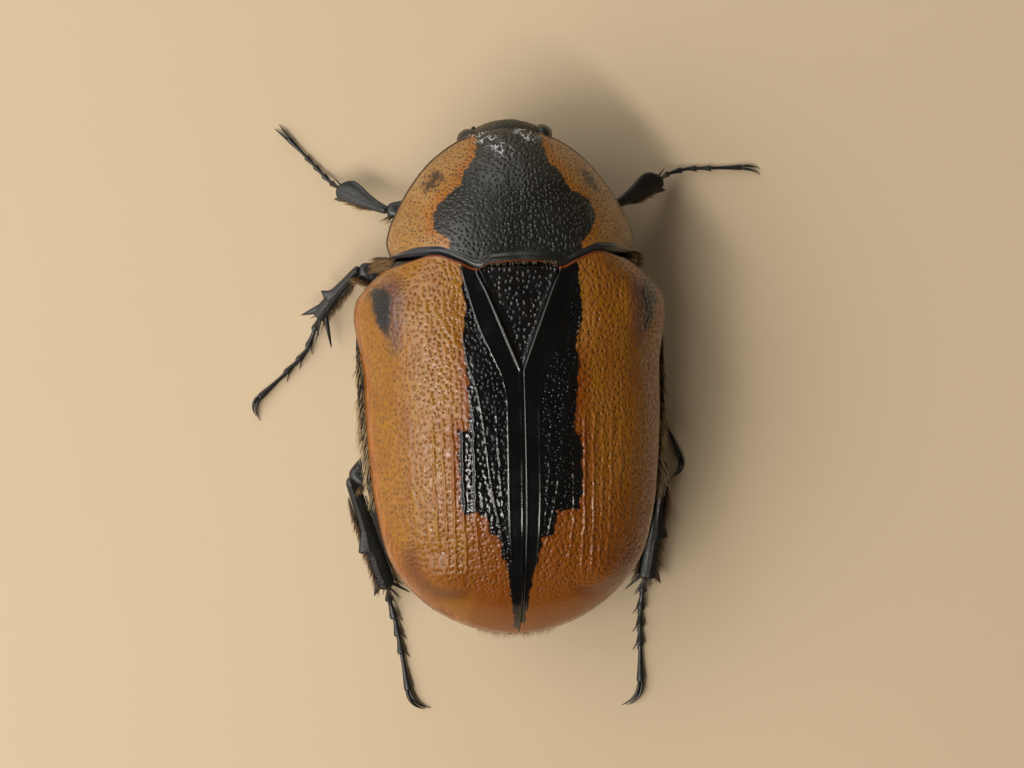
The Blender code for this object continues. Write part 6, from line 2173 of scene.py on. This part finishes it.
@dataclass
class Studio:
    """The floor, the soft lights and the camera at the photograph's view."""

    body: BodyFrame
    tilt: float = 6.0
    roll: float = -1.62
    distance: float = 150.0
    target_height: float = 5.0
    pixel: float = 0.0445
    image_width: int = 1024
    sensor: float = 36.0
    floor_half: float = 600.0
    aim_height: float = 4.0
    sky: Colour = (1.0, 0.73, 0.42)
    sky_strength: float = 0.035

    def axes(self) -> tuple[np.ndarray, np.ndarray, np.ndarray]:
        """The camera's right, up and back directions."""
        tilt, roll = math.radians(self.tilt), math.radians(self.roll)
        back = np.array([math.sin(tilt), 0.0, math.cos(tilt)])
        level_right = np.array([-math.cos(tilt), 0.0, math.sin(tilt)])
        level_up = np.array([0.0, -1.0, 0.0])
        right = math.cos(roll) * level_right + math.sin(roll) * level_up
        up = -math.sin(roll) * level_right + math.cos(roll) * level_up
        return right, up, back

    def add_camera(self) -> None:
        """Set the camera over the beetle's back."""
        right, up, back = self.axes()
        spot = self.body.place(np.array([0.0, 0.0, self.target_height]) + self.distance * back)
        camera = bpy.data.objects.new("camera", bpy.data.cameras.new("camera"))
        camera.matrix_world = Matrix((
            (right[0], up[0], back[0], spot[0]), (right[1], up[1], back[1], spot[1]),
            (right[2], up[2], back[2], spot[2]), (0.0, 0.0, 0.0, 1.0)))
        camera.data.sensor_width = self.sensor
        camera.data.lens = self.sensor * (self.distance / self.pixel) / self.image_width
        camera.data.clip_start = 0.001
        camera.data.clip_end = 10.0
        bpy.context.scene.collection.objects.link(camera)
        bpy.context.scene.camera = camera

    def add_lamp(self, lamp: Lamp) -> None:
        """Add one of the soft lights."""
        light = bpy.data.lights.new(lamp.name, "AREA")
        light.shape = "RECTANGLE"
        light.size = lamp.width * MM
        light.size_y = lamp.height * MM
        light.energy = lamp.energy
        light.color = lamp.colour
        obj = bpy.data.objects.new(lamp.name, light)
        obj.location = self.body.place(np.array(lamp.spot))
        aim = Vector(self.body.place(np.array([0.0, 0.0, self.aim_height]))) - obj.location
        obj.rotation_euler = aim.to_track_quat("-Z", "Y").to_euler()
        bpy.context.scene.collection.objects.link(obj)

    def add_floor(self, finish: Finish) -> None:
        """Lay the floor under the feet."""
        half = self.floor_half * MM
        mesh = bpy.data.meshes.new("floor")
        mesh.from_pydata([(-half, -half, 0.0), (half, -half, 0.0), (half, half, 0.0), (-half, half, 0.0)], [],
                         [(0, 1, 2, 3)])
        mesh.materials.append(finish)
        floor = bpy.data.objects.new("floor", mesh)
        bpy.context.scene.collection.objects.link(floor)

    def add_sky(self) -> None:
        """Fill the room with plain soft light."""
        world = bpy.data.worlds.new("room")
        world.use_nodes = True
        shade = world.node_tree.nodes["Background"]
        shade.inputs["Color"].default_value = (*self.sky, 1.0)
        shade.inputs["Strength"].default_value = self.sky_strength
        bpy.context.scene.world = world

    def build(self, finish: Finish) -> None:
        """Set up everything round the beetle."""
        self.add_camera()
        self.add_floor(finish)
        self.add_sky()
        for lamp in LAMPS:
            self.add_lamp(lamp)
        bpy.context.scene.view_settings.view_transform = "Standard"
        bpy.context.scene.view_settings.look = "None"


def hand_over(obj: Piece, node: str) -> None:
    """Let a finished piece stand for a node of the solids.

    Args:
        obj: The piece.
        node: The node that it replaces.
    """
    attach(obj, "root")
    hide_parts(node)
    LOG.info("%s stands for %s with %d faces", obj.name, node, len(obj.data.polygons))


def dress(obj: Piece) -> None:
    """Let a finished piece that no node stands for ride on the beetle."""
    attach(obj, "root")
    LOG.info("%s added with %d faces", obj.name, len(obj.data.polygons))


def build_head(head: Head, relief: Tree, effects: Effects) -> None:
    """Make the head's pieces and hand them over."""
    # The head's black is lifted to an olive brown: a painted reflection of the warm floor over the shell's
    # own dark colour.
    black = BlackFinish(effects, "head_black", (0.044, 0.038, 0.021), (0.088, 0.069, 0.035), 0.48, 0.12, 0.25,
                        0.16).build()
    glossy = EyeFinish().build()
    joint_black = BlackFinish(effects, "feeler_black", second=(0.03, 0.014, 0.008), spacing=0.12,
                              grain_depth=0.005).build()
    dull = BlackFinish(effects, "club_brown", (0.02, 0.011, 0.007), (0.035, 0.018, 0.01), 0.5, 0.1).build()
    skull = head.skull()
    for side in Side:
        skull.join(head.canthus(side))
    skull.join(head.mouth())
    hand_over(head.relief.shape(head.make(skull, "head_capsule"), relief, black), "head")
    for side in Side:
        word = side.word
        hand_over(head.make(head.eye(side), "eye_dome_" + word, glossy), "eye_" + word)
        links, club = head.feeler(side)
        hand_over(head.make(links, "feeler_links_" + word, joint_black), "antenna_" + word)
        dress(head.make(club, "feeler_club_" + word, dull))
        hand_over(head.make(head.palp(side), "mouth_feeler_" + word, joint_black), "palp_" + word)


def grow_hair(body: BodyFrame, shape: BodyShape) -> list[Piece]:
    """Grow every coat of hair and remove the hairs that they copy.

    Args:
        body: Where the millimetre places lie in the frame.
        shape: The beetle's curves.

    Returns:
        The coats.
    """
    tree = bristle_tree()
    golden = HairFinish("pale_hair", (0.30, 0.19, 0.085), (0.74, 0.58, 0.34)).build()
    brown = HairFinish("golden_brown_hair", (0.055, 0.024, 0.008), (0.44, 0.27, 0.10)).build()
    bristle = HairFinish("bristle_brown", (0.020, 0.009, 0.004), (0.24, 0.125, 0.040)).build()
    fine = hair_blade("fine_hair", 0.034, 0.34)
    stout = hair_blade("stout_hair", 0.045, 0.2)
    hair = BodyHair(shape)
    legs = {route.name: Leg(route, body) for route in LEG_ROUTES}
    made = []
    for side in Side:
        flank = [hair.flank(side, 0.86, 0.99, -4.0, 5.6), hair.flank(side, 0.93, 0.998, -1.4, 5.0, 1.2),
                 hair.ledge(side)]
        made.append(Coat("side_hair_" + side.word, flank, 75.0, 0.95, 0.42, 0.36, 11).build(tree, fine,
                                                                                            golden, body))
        mid, hind, front = (legs[f"{kind.value}_{side.word}"]
                            for kind in (LegKind.MID, LegKind.HIND, LegKind.FRONT))
        edges = [leg.thigh_hair() for leg in (mid, hind, front)] + [hair.shoulder(side)]
        made.append(Coat("leg_hair_" + side.word, edges, 75.0, 0.62, 0.4, 0.4, 12).build(tree, stout, brown,
                                                                                         body))
        brush = [mid.edge_hair(-0.17, 0.08, 0.95, 0.5), hind.edge_hair(0.34, 0.12, 0.95, 0.4),
                 hind.edge_hair(-0.36, 0.15, 0.95, 0.4), front.edge_hair(0.25, 0.2, 0.8, 0.5)]
        brush += [leg.thigh_hair() for leg in (mid, hind)] + [hair.shoulder(side)]
        made.append(Coat("brush_" + side.word, brush, 420.0, 0.58, 0.3, 0.3, 16).build(tree, stout, bristle,
                                                                                       body))
    chest = [hair.flank(side, 0.3, 0.84, -4.4, 0.4, 0.6) for side in Side]
    made.append(Coat("chest_hair", chest, 45.0, 0.6, 0.25, 0.3, 13).build(tree, fine, golden, body))
    ends = [hair.front_corner(side) for side in Side] + [hair.rear()]
    made.append(Coat("end_hair", ends, 260.0, 0.5, 0.2, 0.3, 14).build(tree, fine, golden, body))
    made.append(Coat("plate_fringe", [hair.plate_base()], 200.0, 0.2, 0.1, 0.12, 15).build(tree, stout,
                                                                                           golden, body))
    for blade in (fine, stout):
        mesh = blade.data
        bpy.data.objects.remove(blade)
        bpy.data.meshes.remove(mesh)
    return made


def main() -> None:
    """Build the studio and every piece of the beetle."""
    logging.basicConfig(level=logging.INFO, format="%(name)s: %(message)s")
    body = BodyFrame.read()
    shape = BodyShape()
    effects = Effects()
    relief = relief_tree()
    Studio(body).build(FloorFinish().build())
    wing_finish = WingCaseFinish(effects).build()
    for side in Side:
        wing_case = WingCase(side, body, shape).build(relief, wing_finish)
        hand_over(wing_case, "elytron_" + side.word)
    hand_over(Shield(body, shape).build(relief, ShieldFinish(effects).build()), "pronotum")
    plate_black = BlackFinish(effects, "scutellum_black", (0.005, 0.005, 0.0055), (0.007, 0.006, 0.006), 0.24,
                              0.5, 0.12, 0.25, 0.34, 0.02, 0.004)
    plate = Scutellum(body, shape)
    hand_over(plate.build(relief, plate_black.build()), "scutellum")
    membrane = BlackFinish(effects, "membrane_red", (0.17, 0.032, 0.004), (0.09, 0.018, 0.004), 0.35,
                           0.2).build()
    dress(plate.membrane(membrane))
    under_black = BlackFinish(effects, "underside_black", second=(0.02, 0.014, 0.01), spacing=0.26, size=0.36)
    rear_black = BlackFinish(effects, "end_plate_black", second=(0.05, 0.02, 0.008), spacing=0.2,
                             roughness=0.4)
    for node, obj in Underside(body, shape).build(relief, under_black.build(), rear_black.build()).items():
        hand_over(obj, node)
    build_head(Head(body), relief, effects)
    leg_black = BlackFinish(effects, "leg_black", (0.009, 0.0095, 0.010), (0.020, 0.017, 0.014), 0.36, 0.25,
                            0.2, 0.14, pit_depth=0.012).build()
    for route in LEG_ROUTES:
        for node, obj in Leg(route, body).build(leg_black).items():
            hand_over(obj, node)
    for coat in grow_hair(body, shape):
        dress(coat)


if __name__ == "__main__":
    main()
